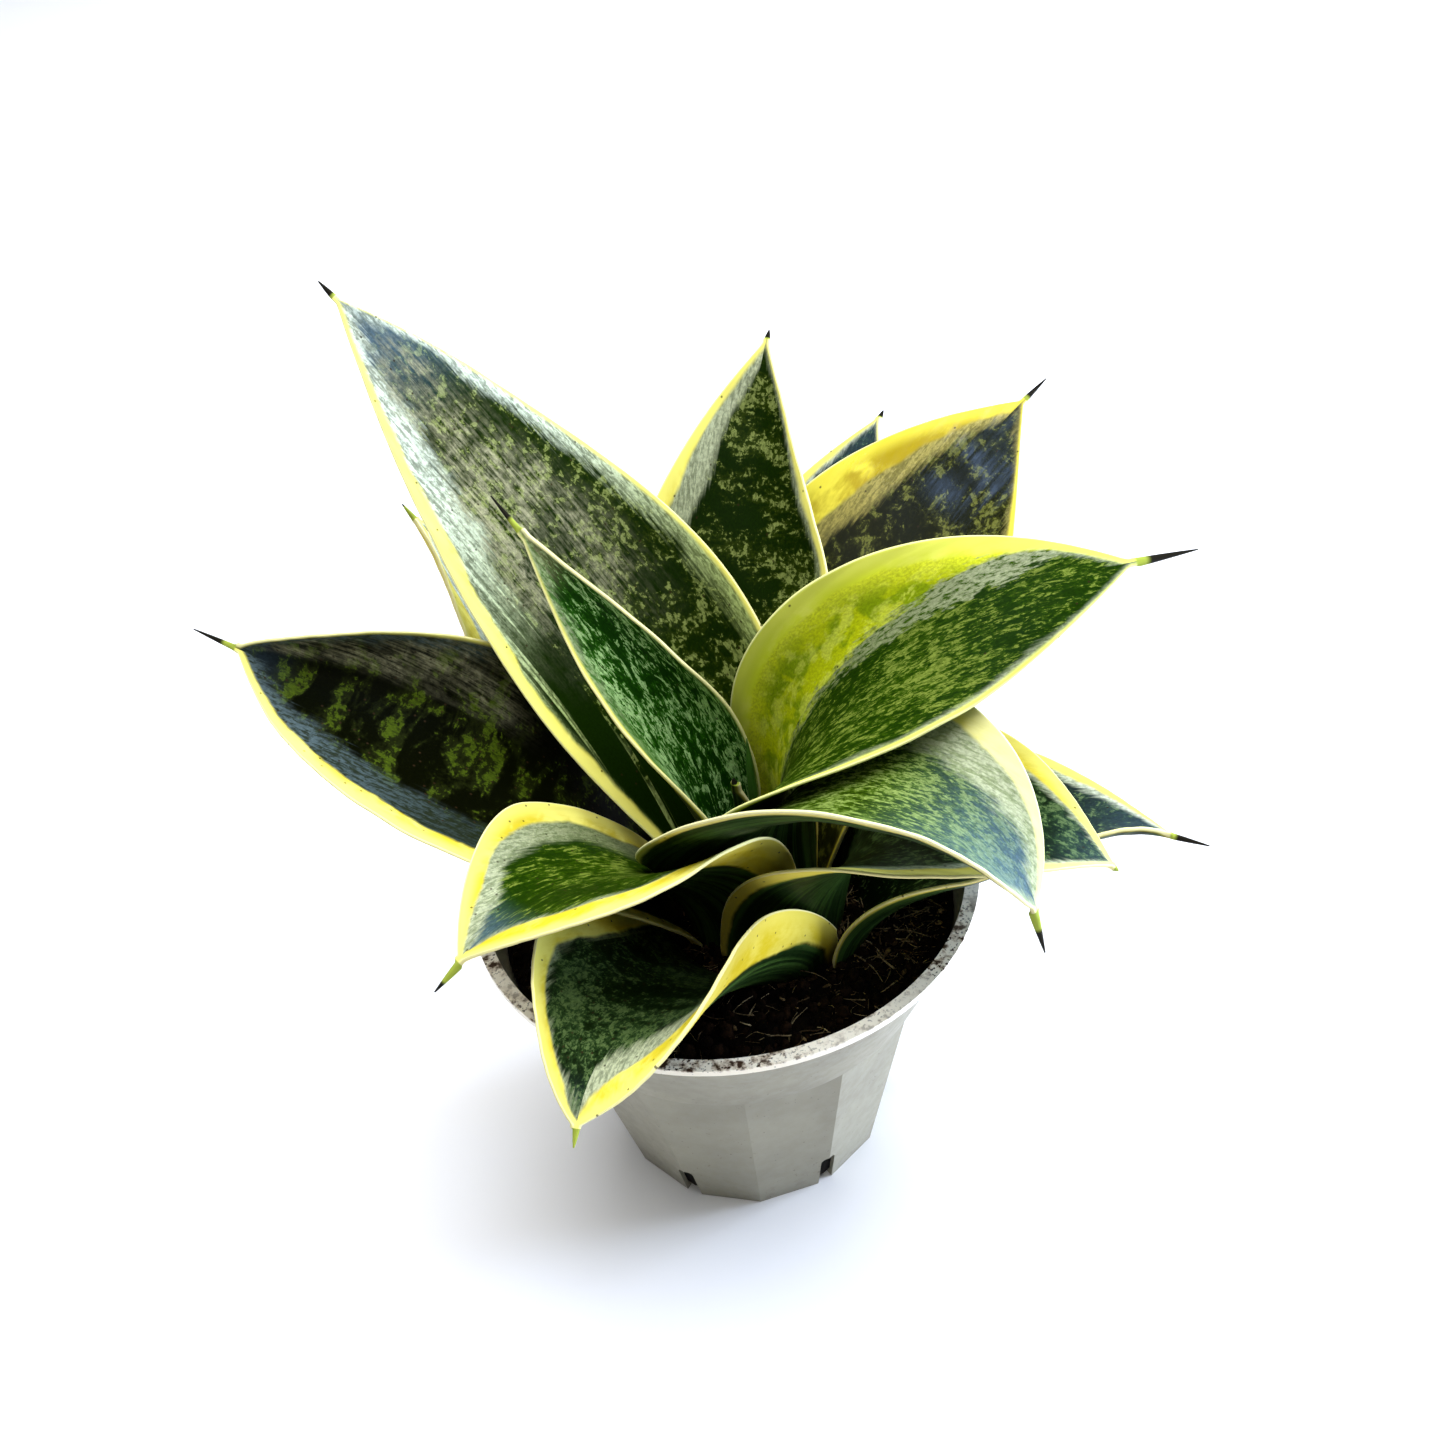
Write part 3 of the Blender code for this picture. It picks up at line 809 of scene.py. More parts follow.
    def core(self) -> Socket:
        """The middle: a dark ground, soft patches, and lace that gathers in crossbands.

        Returns:
            Its colour.
        """
        marking = self.marking
        large = self.grain(marking.grain, marking.dash, 4.0, marking.swirl, 9.0)
        small = self.grain(marking.grain * 0.36, marking.dash * 0.4, 4.0, marking.swirl, 10.0)
        lace = self.weigh((large, 0.55), (small, 0.45))
        ragged = self.grain(16.0, 6.0, 3.0, 0.8, 3.0)
        turns = self.weigh((self.along_mm, math.tau / marking.band_spacing), (self.zone, 14.0), (ragged, 6.0))
        wave = self.add(MATH, {0: turns}, operation="SINE")
        bands = self.weigh((wave, 0.11), (ragged, 1.0))
        slow = self.weigh((bands, marking.crossbands), (self.zone, 1 - marking.crossbands))
        gathered = 0.12 + 0.55 * marking.crossbands
        limit = 0.59 - 0.18 * marking.lace
        patchy = self.weigh((lace, 1 - gathered), (slow, gathered))
        in_patch = self.add(RANGE, {0: patchy, 1: limit - 0.06, 2: limit + 0.02, 4: 0.85}, **EASED)
        lacy = self.weigh((lace, 1 - gathered * 0.7), (slow, gathered * 0.7))
        strength = marking.lace_strength
        in_lace = self.add(RANGE, {0: lacy, 1: limit + 0.005, 2: limit + 0.035, 4: strength}, **EASED)
        broken = self.add(RANGE, {0: self.fleck, 1: 0.36, 2: 0.54, 3: 0.35}, **EASED)
        # painted sky sheen, partly waxy bloom: patches of haze near the tip
        near_tip = self.add(RANGE, {0: self.along, 1: marking.sheen_and_bloom_from, 2: 0.98, 4: marking.sheen_and_bloom}, **EASED)
        patched = self.add(RANGE, {0: self.fleck, 1: 0.3, 2: 0.7, 3: 0.7}, **EASED)
        return self.coated(
            self.dark, (in_patch, self.soft), (self.overlap(in_lace, broken), self.light),
            (self.overlap(near_tip, patched), marking.sheen_and_bloom_tone.value),
        )

    def lime_field(self, face: Colour) -> Socket:
        """Lay a wide lime field on the left, with a speckled silver seam that widens up the leaf.

        Args:
            face: the colour below it.

        Returns:
            The colour with the field on it.
        """
        clouds = self.weigh((self.cluster, 0.6), (self.zone, 0.4))
        deep = self.add(RANGE, {0: clouds, 1: 0.44, 2: 0.56, 4: 0.9}, **EASED)
        mottle = self.grain(3.4, 7.0, 4.0, 0.4, 12.0)
        pale = self.add(RANGE, {0: mottle, 1: 0.48, 2: 0.6, 4: 0.6}, **EASED)
        at_edge = self.add(RANGE, {0: self.margin_mm, 1: 3.0, 2: 10.0, 3: 1.0, 4: 0.0}, **EASED)
        shades = ((deep, self.LIME_DEEP), (pale, self.LIME_PALE), (at_edge, self.LIME_EDGE))
        lime = self.coated(self.LIME, *shades)
        ragged = self.weigh((self.streak, 5.0), (self.cluster, 5.0), (self.fleck, 3.0), (1.0, -6.5))
        narrows = self.add(RANGE, {0: self.along, 1: 0.75, 2: 1.0, 3: 0.0, 4: 2.5}, **EASED)
        border = self.marking.lime_border
        inside = self.weigh((self.sideways_mm, -1.0), (ragged, 1.0), (narrows, -1.0), (1.0, -border))
        seam = self.add(RANGE, {0: inside, 1: -0.5, 2: 0.5}, **EASED)
        seam_width = self.add(RANGE, {0: self.along, 1: 0.4, 2: 0.85, 3: 0.6, 4: 5.5}, **EASED)
        past_seam = self.weigh((inside, 1.0), (seam_width, -1.0))
        field = self.add(RANGE, {0: past_seam, 1: -0.8, 2: 1.4}, **EASED)
        specks = self.add(RANGE, {0: self.grain(0.6, 2.2, 4.0, 0.3, 14.0), 1: 0.36, 2: 0.58}, **EASED)
        silver = self.coated(self.soft, (specks, self.band_low))
        up_leaf = self.add(RANGE, {0: self.along, 1: 0.5, 2: 0.95, 4: 0.6}, **EASED)
        silver = self.coated(silver, (self.overlap(up_leaf, specks), self.band_high))
        return self.coated(face, (seam, silver), (field, lime))

    def dark_stripes(self, face: Colour) -> Socket:
        """Run dark stripes up the left half from the foot, thinning out above.

        Args:
            face: the colour below them.

        Returns:
            The colour with the stripes on it.
        """
        thinning = self.weigh((self.grain(2.0, 190.0, 2.0, 0.0, 6.0), 1.0), (self.along, -0.25))
        lines = self.add(RANGE, {0: thinning, 1: 0.29, 2: 0.35}, **EASED)
        low = self.add(RANGE, {0: self.along, 1: 0.42, 2: 0.74, 3: self.marking.stripes, 4: 0.0}, **EASED)
        off_margin = self.add(RANGE, {0: self.across, 1: -0.94, 2: -0.84}, **EASED)
        off_middle = self.add(RANGE, {0: self.across, 1: -0.35, 2: -0.1, 3: 1.0, 4: 0.0}, **EASED)
        striped = self.overlap(lines, low, off_margin, off_middle)
        return self.coated(face, (striped, self.dark))

    def pale_veil(self, face: Colour) -> Socket:
        """Lay a pale, mottled coat over part of the upper blade.

        Args:
            face: the colour below it.

        Returns:
            The colour with the coat on it.
        """
        marking = self.marking
        long_worn, short_worn = self.grain(0.8, 18.0, 4.0, 0.3, 7.0), self.grain(1.4, 2.4, 4.0, 0.5, 11.0)
        worn = self.weigh((long_worn, 0.6), (short_worn, 0.4))
        pattern = self.add(RANGE, {0: worn, 1: 0.38, 2: 0.64, 4: marking.veil}, **EASED)
        rises = self.add(RANGE, {0: self.along, 1: 0.36, 2: 0.62}, **EASED)
        falls = self.add(RANGE, {0: self.along, 1: 0.88, 2: 0.97, 3: 1.0, 4: 0.0}, **EASED)
        off_middle = self.add(MATH, {0: self.across, 1: marking.veil_at}, operation="SUBTRACT")
        off_middle = self.add(MATH, {0: off_middle}, operation="ABSOLUTE")
        near, far = marking.veil_reach * 0.4, marking.veil_reach
        reach = self.add(RANGE, {0: off_middle, 1: near, 2: far, 3: 1.0, 4: 0.0}, **EASED)
        drift = self.weigh((self.zone, 0.5), (self.cluster, 0.5))
        uneven = self.add(RANGE, {0: drift, 1: 0.42, 2: 0.58, 3: 0.3}, **EASED)
        return self.coated(face, (self.overlap(pattern, rises, falls, reach, uneven), self.VEIL))

    def back(self) -> Socket:
        """The underside's green, painted near black as the shade beneath the leaf, with fine lengthwise
        stripes.

        Returns:
            Its colour.
        """
        fine = self.grain(1.0, 70.0, 2.0, 0.0, 8.0)
        stripes = self.add(RANGE, {0: fine, 1: 0.4, 2: 0.7, 4: 0.5}, **EASED)
        return self.coated(self.SHADED_UNDERSIDE, (stripes, self.SHADED_UNDERSIDE_STRIPE))

    def pored(self, face: Socket) -> Socket:
        """Shade the fine pores.

        Args:
            face: the colour that they darken.

        Returns:
            The shaded colour.
        """
        pores = self.grain(0.45, 0.8, 2.0, 0.0, 16.0)
        shade = self.add(RANGE, {0: pores, 1: 0.34, 2: 0.66, 3: 1.15, 4: 0.75})
        return self.add(VECTOR, {0: face, "Scale": shade}, operation="SCALE")

    def rim_and_specks(self, skin: Colour) -> Socket:
        """Lay a thin pale rim and a scatter of tiny brown specks.

        Args:
            skin: the colour below them.

        Returns:
            The colour with them on it.
        """
        rim = self.add(RANGE, {0: self.margin_mm, 1: 0.15, 2: 0.45, 3: 0.5, 4: 0.0}, **EASED)
        wide, long = self.SPECK_CELL
        cells = self.add(VECTOR, {0: self.on_leaf, 1: (1 / wide, 1 / long, 1.0)}, operation="MULTIPLY")
        distance, colour = (
            self.add(CELLS, {"Vector": cells, "Scale": 1.0}, output, voronoi_dimensions="2D")
            for output in ("Distance", "Color")
        )
        lottery = self.add(SPLIT, {0: colour}, 0)
        chosen = self.add(MATH, {0: lottery, 1: self.marking.specks}, operation="LESS_THAN")
        dot = self.add(RANGE, {0: distance, 1: 0.06, 2: 0.17, 3: 0.8, 4: 0.0}, **EASED)
        speck = self.overlap(dot, chosen)
        return self.coated(skin, (rim, self.RIM), (speck, self.SPECK))

    def awn(self, skin: Colour) -> Socket:
        """Colour the awn: yellow-green where it leaves the blade, then dark and dry.

        Args:
            skin: the blade's colour.

        Returns:
            The colour of blade and awn.
        """
        green = 1.0 + self.marking.awn_green
        dries = self.add(RANGE, {0: self.along, 1: green, 2: green + 0.12}, **EASED)
        starts = self.add(RANGE, {0: self.along, 1: 0.99, 2: 1.04}, **EASED)
        awn = self.coated(self.AWN_GREEN, (dries, self.AWN_DARK))
        return self.coated(skin, (starts, awn))

    def cuticle(self) -> None:
        """Satin gloss that varies a little, fine lengthwise ribs, and a polished tip on some leaves."""
        satin = self.add(RANGE, {0: self.fleck, 1: 0.3, 2: 0.7, 3: 0.4, 4: 0.5}, **EASED)
        polish = self.add(RANGE, {0: self.along, 1: 0.62, 2: 0.8, 4: 0.32 * self.marking.polish}, **EASED)
        self.lead(self.weigh((satin, 1.0), (polish, -1.0)), "Roughness")
        height = self.weigh((self.streak, 1.0), (self.fleck, 0.35))
        relief = {"Strength": 0.3, "Distance": self.RIB_DEPTH * MM, "Height": height}
        self.lead(self.add(BUMP, relief, "Normal"), "Normal")


LEAVES: dict[str, tuple[LeafForm, Marking]] = {
    "leaf_youngest": (
        LeafForm(
            foot=2.5, length=44, foot_width=9, width=9, widest=0.5, fullness=1.8,
            heading=(225, 225, 225), rise=(89, 88, 86, 84), twist=(0, 0, 0),
            cup_left=(95, 80, 60), cup_right=(95, 80, 60), spine=2,
        ),
        Marking(
            CoreTone.YOUNG, yellow_left=0.3, yellow_right=0.3, band_left=0.2, band_right=0.2,
            lace=0.2, sheen_and_bloom=0.0,
        ),
    ),
    "leaf_inner_left": (
        LeafForm(
            foot=5, length=112, foot_width=10, width=29, widest=0.5, fullness=1.4,
            heading=(167, 153, 133), rise=(77, 78, 55, 40), twist=(-2, 31, 36),
            cup_left=(95, 40, 15), cup_right=(75, 95, 95), spine=10.5,
        ),
        Marking(
            CoreTone.YOUNG, yellow_left=0.8, yellow_right=0.15, band_left=2.2, band_right=0.1,
            band=BandTone.GREEN, feather=1.8, band_flecks=0.8, lace=0.5, lace_strength=0.95, grain=1.9,
            dash=7.0, swirl=1.2, crossbands=0.1, sheen_and_bloom=0.8, sheen_and_bloom_from=0.84, sheen_and_bloom_tone=SheenAndBloomTone.BROWN,
            specks=0.01, awn_green=0.3,
        ),
    ),
    "leaf_inner_right": (
        LeafForm(
            foot=7, length=146, foot_width=17, width=49, widest=0.45, fullness=2.0,
            heading=(-55, -15, 17), rise=(95, 71, 29, -7), twist=(1, -18, -36),
            cup_left=(95, 45, 0), cup_right=(65, 5, 0), spine=16,
        ),
        Marking(
            CoreTone.FRESH, yellow_left=4.5, yellow_right=1.0, band_left=1.5, band_right=0.8,
            band=BandTone.GREY, margin=MarginTone.LIME, lace=0.42, lace_strength=0.65, grain=1.2,
            dash=4.5, swirl=0.9, crossbands=0.2, sheen_and_bloom=0.0, lime_border=3.5, specks=0.01, awn_radius=1.0,
            awn_green=0.15,
        ),
    ),
    "leaf_upper_left": (
        LeafForm(
            foot=8, length=171, foot_width=20, width=58, widest=0.4, fullness=1.8,
            heading=(116, 143, 148), rise=(87, 54, 51, 46), twist=(-2, 13, 33),
            cup_left=(0, 0, 0), cup_right=(60, 0, 0), spine=5,
        ),
        Marking(
            CoreTone.MATURE, yellow_left=3.0, yellow_right=1.0, band_left=7.0, band_right=3.0,
            feather=2.4, band_flecks=0.65, grain=3.0, dash=3.6, crossbands=0.35, stripes=1.0,
            veil=0.7, sheen_and_bloom=0.8, sheen_and_bloom_from=0.78, specks=0.05,
        ),
    ),
    "leaf_front_right": (
        LeafForm(
            foot=10.5, length=130, foot_width=41, width=59, widest=0.55, fullness=2.1,
            heading=(254, 317, 318), rise=(90, 63, 10, -75), twist=(-1, 0, 3),
            cup_left=(45, 40, 15), cup_right=(45, 55, 35), spine=11.5,
        ),
        Marking(
            CoreTone.BRIGHT, yellow_left=5.5, yellow_right=1.2, band_left=8.5, band_right=2.5,
            band=BandTone.GREY, margin=MarginTone.CREAM, feather=2.2, lace=0.52, lace_strength=0.55,
            grain=1.3, dash=4.0, crossbands=0.15, sheen_and_bloom=0.8, sheen_and_bloom_from=0.64, specks=0.015,
            awn_radius=1.1, awn_green=0.4,
        ),
    ),
    "leaf_back": (
        LeafForm(
            foot=12, length=132, foot_width=17, width=49, widest=0.55, fullness=1.4,
            heading=(96, 77, 58), rise=(81, 62, 49, 49), twist=(10, -3, -11),
            cup_left=(25, 25, 25), cup_right=(30, 40, 45), spine=2.5,
        ),
        Marking(
            CoreTone.MATURE, yellow_left=3.6, yellow_right=1.4, band_left=6.0, band_right=0.8,
            band=BandTone.GREY, grain=2.8, dash=2.6, crossbands=0.65, sheen_and_bloom=0.0,
        ),
    ),
    "leaf_front_left": (
        LeafForm(
            foot=15.5, length=95, foot_width=37, width=59, widest=0.6, fullness=1.6,
            heading=(220, 220, 212), rise=(92, 51, 21, -27), twist=(-9, -22, -13),
            cup_left=(55, 10, 25), cup_right=(60, 65, 55), spine=8,
        ),
        Marking(
            CoreTone.FRESH, yellow_left=9.0, yellow_right=5.0, band_left=0.4, band_right=5.0,
            band=BandTone.GREY, feather=2.0, taper_from=0.84, lace=0.34, lace_strength=0.65,
            grain=1.3, dash=6.5, sheen_and_bloom=0.95, specks=0.09, awn_radius=1.0, awn_green=0.6,
        ),
    ),
    "leaf_back_right": (
        LeafForm(
            foot=13.5, length=133, foot_width=21, width=59, widest=0.6, fullness=1.4,
            heading=(52, 42, 31), rise=(80, 52, 33, 23), twist=(5, -15, -32),
            cup_left=(40, 20, 0), cup_right=(50, 20, 0), spine=8,
        ),
        Marking(
            CoreTone.DUSKY, yellow_left=8.5, yellow_right=1.6, band_left=4.5, band_right=0.2,
            band=BandTone.OLIVE, margin=MarginTone.GOLDEN, feather=1.6, lace=0.42, grain=3.4, dash=4.2,
            crossbands=0.4, sheen_and_bloom=0.1, polish=0.8,
        ),
    ),
    "leaf_right": (
        LeafForm(
            foot=17, length=100, foot_width=52, width=58, widest=0.6, fullness=1.4,
            heading=(313, 331, 338), rise=(79, 58, 10, -35), twist=(-2, 1, 12),
            cup_left=(25, 25, 25), cup_right=(70, 20, 15), spine=1.5,
        ),
        Marking(
            CoreTone.TEAL, yellow_left=5.5, yellow_right=3.5, band_left=1.6, band_right=2.0,
            band=BandTone.GREY, lace=0.35, lace_strength=0.5, sheen_and_bloom=0.2, awn_green=0.9,
        ),
    ),
    "leaf_left": (
        LeafForm(
            foot=20, length=129, foot_width=22, width=59, widest=0.45, fullness=1.9,
            heading=(180, 164, 144), rise=(72, 44, 27, 8), twist=(-7, 11, 36),
            cup_left=(25, 35, 25), cup_right=(15, 70, 95), spine=13.5,
        ),
        Marking(
            CoreTone.OLD, yellow_left=5.5, yellow_right=0.8, band_left=8.5, band_right=3.0,
            band=BandTone.BLUE_SHEEN, feather=2.4, band_flecks=0.85, taper_from=0.5, lace=0.36,
            grain=4.2, dash=4.0, crossbands=0.8, band_spacing=15.0, veil=0.5, veil_at=0.68,
            veil_reach=0.35, sheen_and_bloom=0.15, sheen_and_bloom_from=0.85, specks=0.14, awn_green=0.25,
        ),
    ),
    "leaf_front": (
        LeafForm(
            foot=23, length=82, foot_width=53, width=59, widest=0.6, fullness=1.4,
            heading=(248, 235, 251), rise=(50, 35, 18, -37), twist=(-3, -7, 13),
            cup_left=(95, 75, 15), cup_right=(55, 65, 65), spine=4,
        ),
        Marking(
            CoreTone.TEAL, yellow_left=9.0, yellow_right=5.0, band_left=7.0, band_right=0.3,
            band=BandTone.GREY, feather=2.4, taper_from=0.84, lace=0.45, lace_strength=0.5, grain=1.6,
            dash=2.4, crossbands=0.5, sheen_and_bloom=0.1, sheen_and_bloom_from=0.85, specks=0.12, awn_green=1.0,
        ),
    ),
    "leaf_low_right": (
        LeafForm(
            foot=22, length=80, foot_width=49, width=54, widest=0.5, fullness=1.4,
            heading=(354, 342, 335), rise=(60, 26, 18, -8), twist=(-12, 1, 30),
            cup_left=(50, 30, 30), cup_right=(60, 30, 50), spine=9,
        ),
        Marking(
            CoreTone.TEAL, yellow_left=2.8, yellow_right=0.8, band_left=2.0, band_right=0.8,
            lace=0.3, sheen_and_bloom_from=0.5,
        ),
    ),
    "leaf_behind_back_right": (
        LeafForm(
            foot=20, length=113, foot_width=24, width=44, widest=0.5, fullness=1.8,
            heading=(74, 61, 48), rise=(62, 50, 40, 34), twist=(-12, -2, 8),
            cup_left=(45, 40, 30), cup_right=(40, 40, 40), spine=2.5,
        ),
        Marking(
            CoreTone.TEAL, yellow_left=3.0, yellow_right=1.8, band_left=1.0, band_right=0.5,
            lace=0.3, sheen_and_bloom_from=0.7,
        ),
    ),
    "leaf_behind_upper_left": (
        LeafForm(
            foot=23.5, length=109, foot_width=32, width=49, widest=0.5, fullness=1.8,
            heading=(137, 137, 141), rise=(58, 47, 47, 48), twist=(0, -5, -13),
            cup_left=(5, 35, 70), cup_right=(40, 40, 40), spine=5,
        ),
        Marking(
            CoreTone.MATURE, yellow_left=9.0, yellow_right=3.0, band_left=4.0, band_right=2.0,
            lace=0.35, stripes=0.6, sheen_and_bloom=0.1, awn_green=0.8,
        ),
    ),
}


@dataclass(frozen=True)
class YoungLeafSkin:
    """Skin of the rolled young leaf, as grown: smooth deep green with fine lengthwise lines.

    It has no pale lace yet, so the eye reads a plain, slightly glossy spike.
    """

    valley: str = "16360E"
    ridge: str = "3F6E22"
    line: float = 0.5          # spacing, drawn as coarse as it needs to show
    line_length: float = 14.0
    line_depth: float = 0.05
    roughness: float = 0.42

    def material(self) -> bpy.types.Material:
        """Draw the node tree.

        Returns:
            The finished material.
        """
        skin = Shading("waxed_young_leaf_skin", self.roughness)
        lines = skin.clouds((self.line, self.line, self.line_length), 2.0)
        skin.lead(skin.coated(self.valley, (lines, self.ridge)), "Base Color")
        relief = {"Strength": 0.3, "Distance": self.line_depth * MM, "Height": lines}
        skin.lead(skin.add(BUMP, relief, "Normal"), "Normal")
        return skin.material


@dataclass(frozen=True)
class PlantMatter:
    """Dull plant matter, damp or dry: peat, bark, straw or rhizome skin, coarse and uneven.

    Damp peat swallows nearly all light, so dry straw and bark on it stand out as pale bits.
    """

    name: str
    darkest: str
    lightest: str
    roughness: float
    tinted: bool = False       # whether each scattered copy has a tint of its own
    tint_gain: float = 1.3
    grain: float = 1.2         # size of its dark and light spots
    grain_depth: float = 0.4
    ior: float = 1.4
    specular: float = 0.2

    def material(self) -> bpy.types.Material:
        """Draw the node tree.

        Returns:
            The finished material.
        """
        matter = Shading(self.name, self.roughness, self.ior, self.specular)
        grain = matter.clouds((self.grain,) * 3, 4.0, 0.7)
        share = matter.add(RANGE, {0: grain, 1: 0.35, 2: 0.75})
        if self.tinted:
            tint = matter.add(ATTRIBUTE, {}, "Fac", attribute_name=TINT)
            both = matter.overlap(share, tint)
            share = matter.add(MATH, {0: both, 1: self.tint_gain}, operation="MULTIPLY", use_clamp=True)
        matter.lead(matter.coated(self.darkest, (share, self.lightest)), "Base Color")
        relief = {"Strength": 0.8, "Distance": self.grain_depth * MM, "Height": grain}
        matter.lead(matter.add(BUMP, relief, "Normal"), "Normal")
        return matter.material


@dataclass(frozen=True)
class PotPlastic:
    """Polypropylene, injection-moulded in a polished steel mould: pale grey, satin, a little uneven.

    The lip is painted whiter than the wall, a painted highlight where it faces the light.
    Grains of soil and tan smears lie on it, thick in some stretches; a few dry splashes are left on
    the wall, and round the notches it darkens in patches towards the foot, partly damp dirt and
    partly painted shade.
    """

    lip_z: float
    notch_top_z: float
    shade: str = "888472"
    tone: str = "928E7B"
    # painted highlight: the lip's colour is whiter than the wall's
    lip: str = "FBF4E2"
    soil: str = "3A2617"
    smear: str = "94744E"
    # damp dirt and painted shade, laid in patches towards the foot
    low_dirt_and_shade: str = "5B5146"
    splash: str = "4C443A"
    roughness: float = 0.42
    ior: float = 1.49
    skin_depth: float = 0.1    # of the fine unevenness of its surface

    def material(self) -> bpy.types.Material:
        """Draw the node tree.

        Returns:
            The finished material.
        """
        plastic = Shading("moulded_polypropylene_pale_grey", self.roughness, self.ior)
        height = plastic.add(SPLIT, {0: plastic.add(OBJECT, {}, "Object")}, 2)
        z = plastic.add(MATH, {0: height, 1: 1 / MM}, operation="MULTIPLY")
        slow, stretch, grains, clumps, splash, satin, skin = (
            plastic.clouds((size,) * 3, detail, 0.6, shift) for size, detail, shift in (
                (22.0, 2.0, 0.0), (26.0, 1.0, 5.0), (0.8, 3.0, 9.0), (2.6, 3.0, 13.0), (1.2, 3.0, 21.0),
                (3.0, 3.0, 30.0), (0.4, 2.0, 40.0),
            )
        )
        # painted highlight: the lip, from just below its top, is coloured whiter than the wall
        painted_lit_lip = plastic.add(RANGE, {0: z, 1: self.lip_z - 1.9, 2: self.lip_z - 1.5}, **EASED)
        on_lip = plastic.add(RANGE, {0: z, 1: self.lip_z - 0.6, 2: self.lip_z - 0.1}, **EASED)
        thick = plastic.add(RANGE, {0: stretch, 1: 0.42, 2: 0.58, 3: 0.3}, **EASED)
        fine = plastic.add(RANGE, {0: grains, 1: 0.56, 2: 0.62}, **EASED)
        coarse = plastic.add(RANGE, {0: clumps, 1: 0.55, 2: 0.64}, **EASED)
        dirt = plastic.overlap(plastic.add(MATH, {0: fine, 1: coarse}, operation="MAXIMUM"), thick, on_lip)
        tan = plastic.add(RANGE, {0: clumps, 1: 0.46, 2: 0.58, 4: 0.6}, **EASED)
        # darker in patches towards the foot: partly damp dirt, partly painted shade
        low = plastic.add(RANGE, {0: z, 1: 2.0, 2: self.notch_top_z + 3.0, 3: 0.5, 4: 0.0}, **EASED)
        marks = plastic.add(RANGE, {0: splash, 1: 0.66, 2: 0.72, 4: 0.7}, **EASED)
        low_blotches = plastic.add(RANGE, {0: clumps, 1: 0.5, 2: 0.7, 4: 0.5}, **EASED)
        uneven = plastic.add(RANGE, {0: slow, 1: 0.35, 2: 0.65}, **EASED)
        colour = plastic.coated(
            self.shade, (uneven, self.tone), (painted_lit_lip, self.lip),
            (plastic.overlap(tan, thick, on_lip), self.smear), (dirt, self.soil), (marks, self.splash),
            (plastic.overlap(low, low_blotches), self.low_dirt_and_shade),
        )
        plastic.lead(colour, "Base Color")
        gloss = plastic.add(RANGE, {0: satin, 1: 0.3, 2: 0.7, 3: 0.36, 4: 0.5}, **EASED)
        plastic.lead(plastic.weigh((gloss, 1.0), (dirt, 0.3)), "Roughness")
        raised = plastic.weigh((dirt, 1.0), (skin, 0.3))
        relief = {"Strength": 0.25, "Distance": self.skin_depth * MM, "Height": raised}
        plastic.lead(plastic.add(BUMP, relief, "Normal"), "Normal")
        return plastic.material


@dataclass(frozen=True)
class Spike:
    """The rolled leaf in the middle of the crown."""

    crown: Crown
    radius: float = 1.1
    neck_radius: float = 0.9
    tip_radius: float = 0.12
    shoulder_z: float = 108.0
    groove_at: float = 252.0       # its direction
    groove_depth: float = 0.22     # as a share of the radius
    groove_width_rad: float = 0.3
    columns: int = 24
    rows: int = 40

    def build(self, material: bpy.types.Material) -> bpy.types.Object:
        """Turn the spike and run a shallow groove up it, where its rolled edge lies.

        Args:
            material: its skin.

        Returns:
            The finished piece.
        """
        crown = self.crown
        tip_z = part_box("leaf_spike")[1].z / MM
        heights = np.linspace(crown.foot_z, tip_z, self.rows + 1)
        neck_z = (self.shoulder_z + tip_z) / 2
        radii = np.interp(heights, (crown.foot_z, self.shoulder_z, neck_z, tip_z),
                          (self.radius, self.radius, self.neck_radius, self.tip_radius))
        turn = np.linspace(0, math.tau, self.columns + 1)
        off_groove = (turn - math.radians(self.groove_at)) / self.groove_width_rad
        groove = 1 - self.groove_depth * np.exp(-off_groove ** 2)
        rings = [circle(crown.x, crown.y, z, radius * groove, turn) for z, radius in zip(heights, radii)]
        return place(rolled(rings), "leaf_spike_roll", material, "leaf_spike")


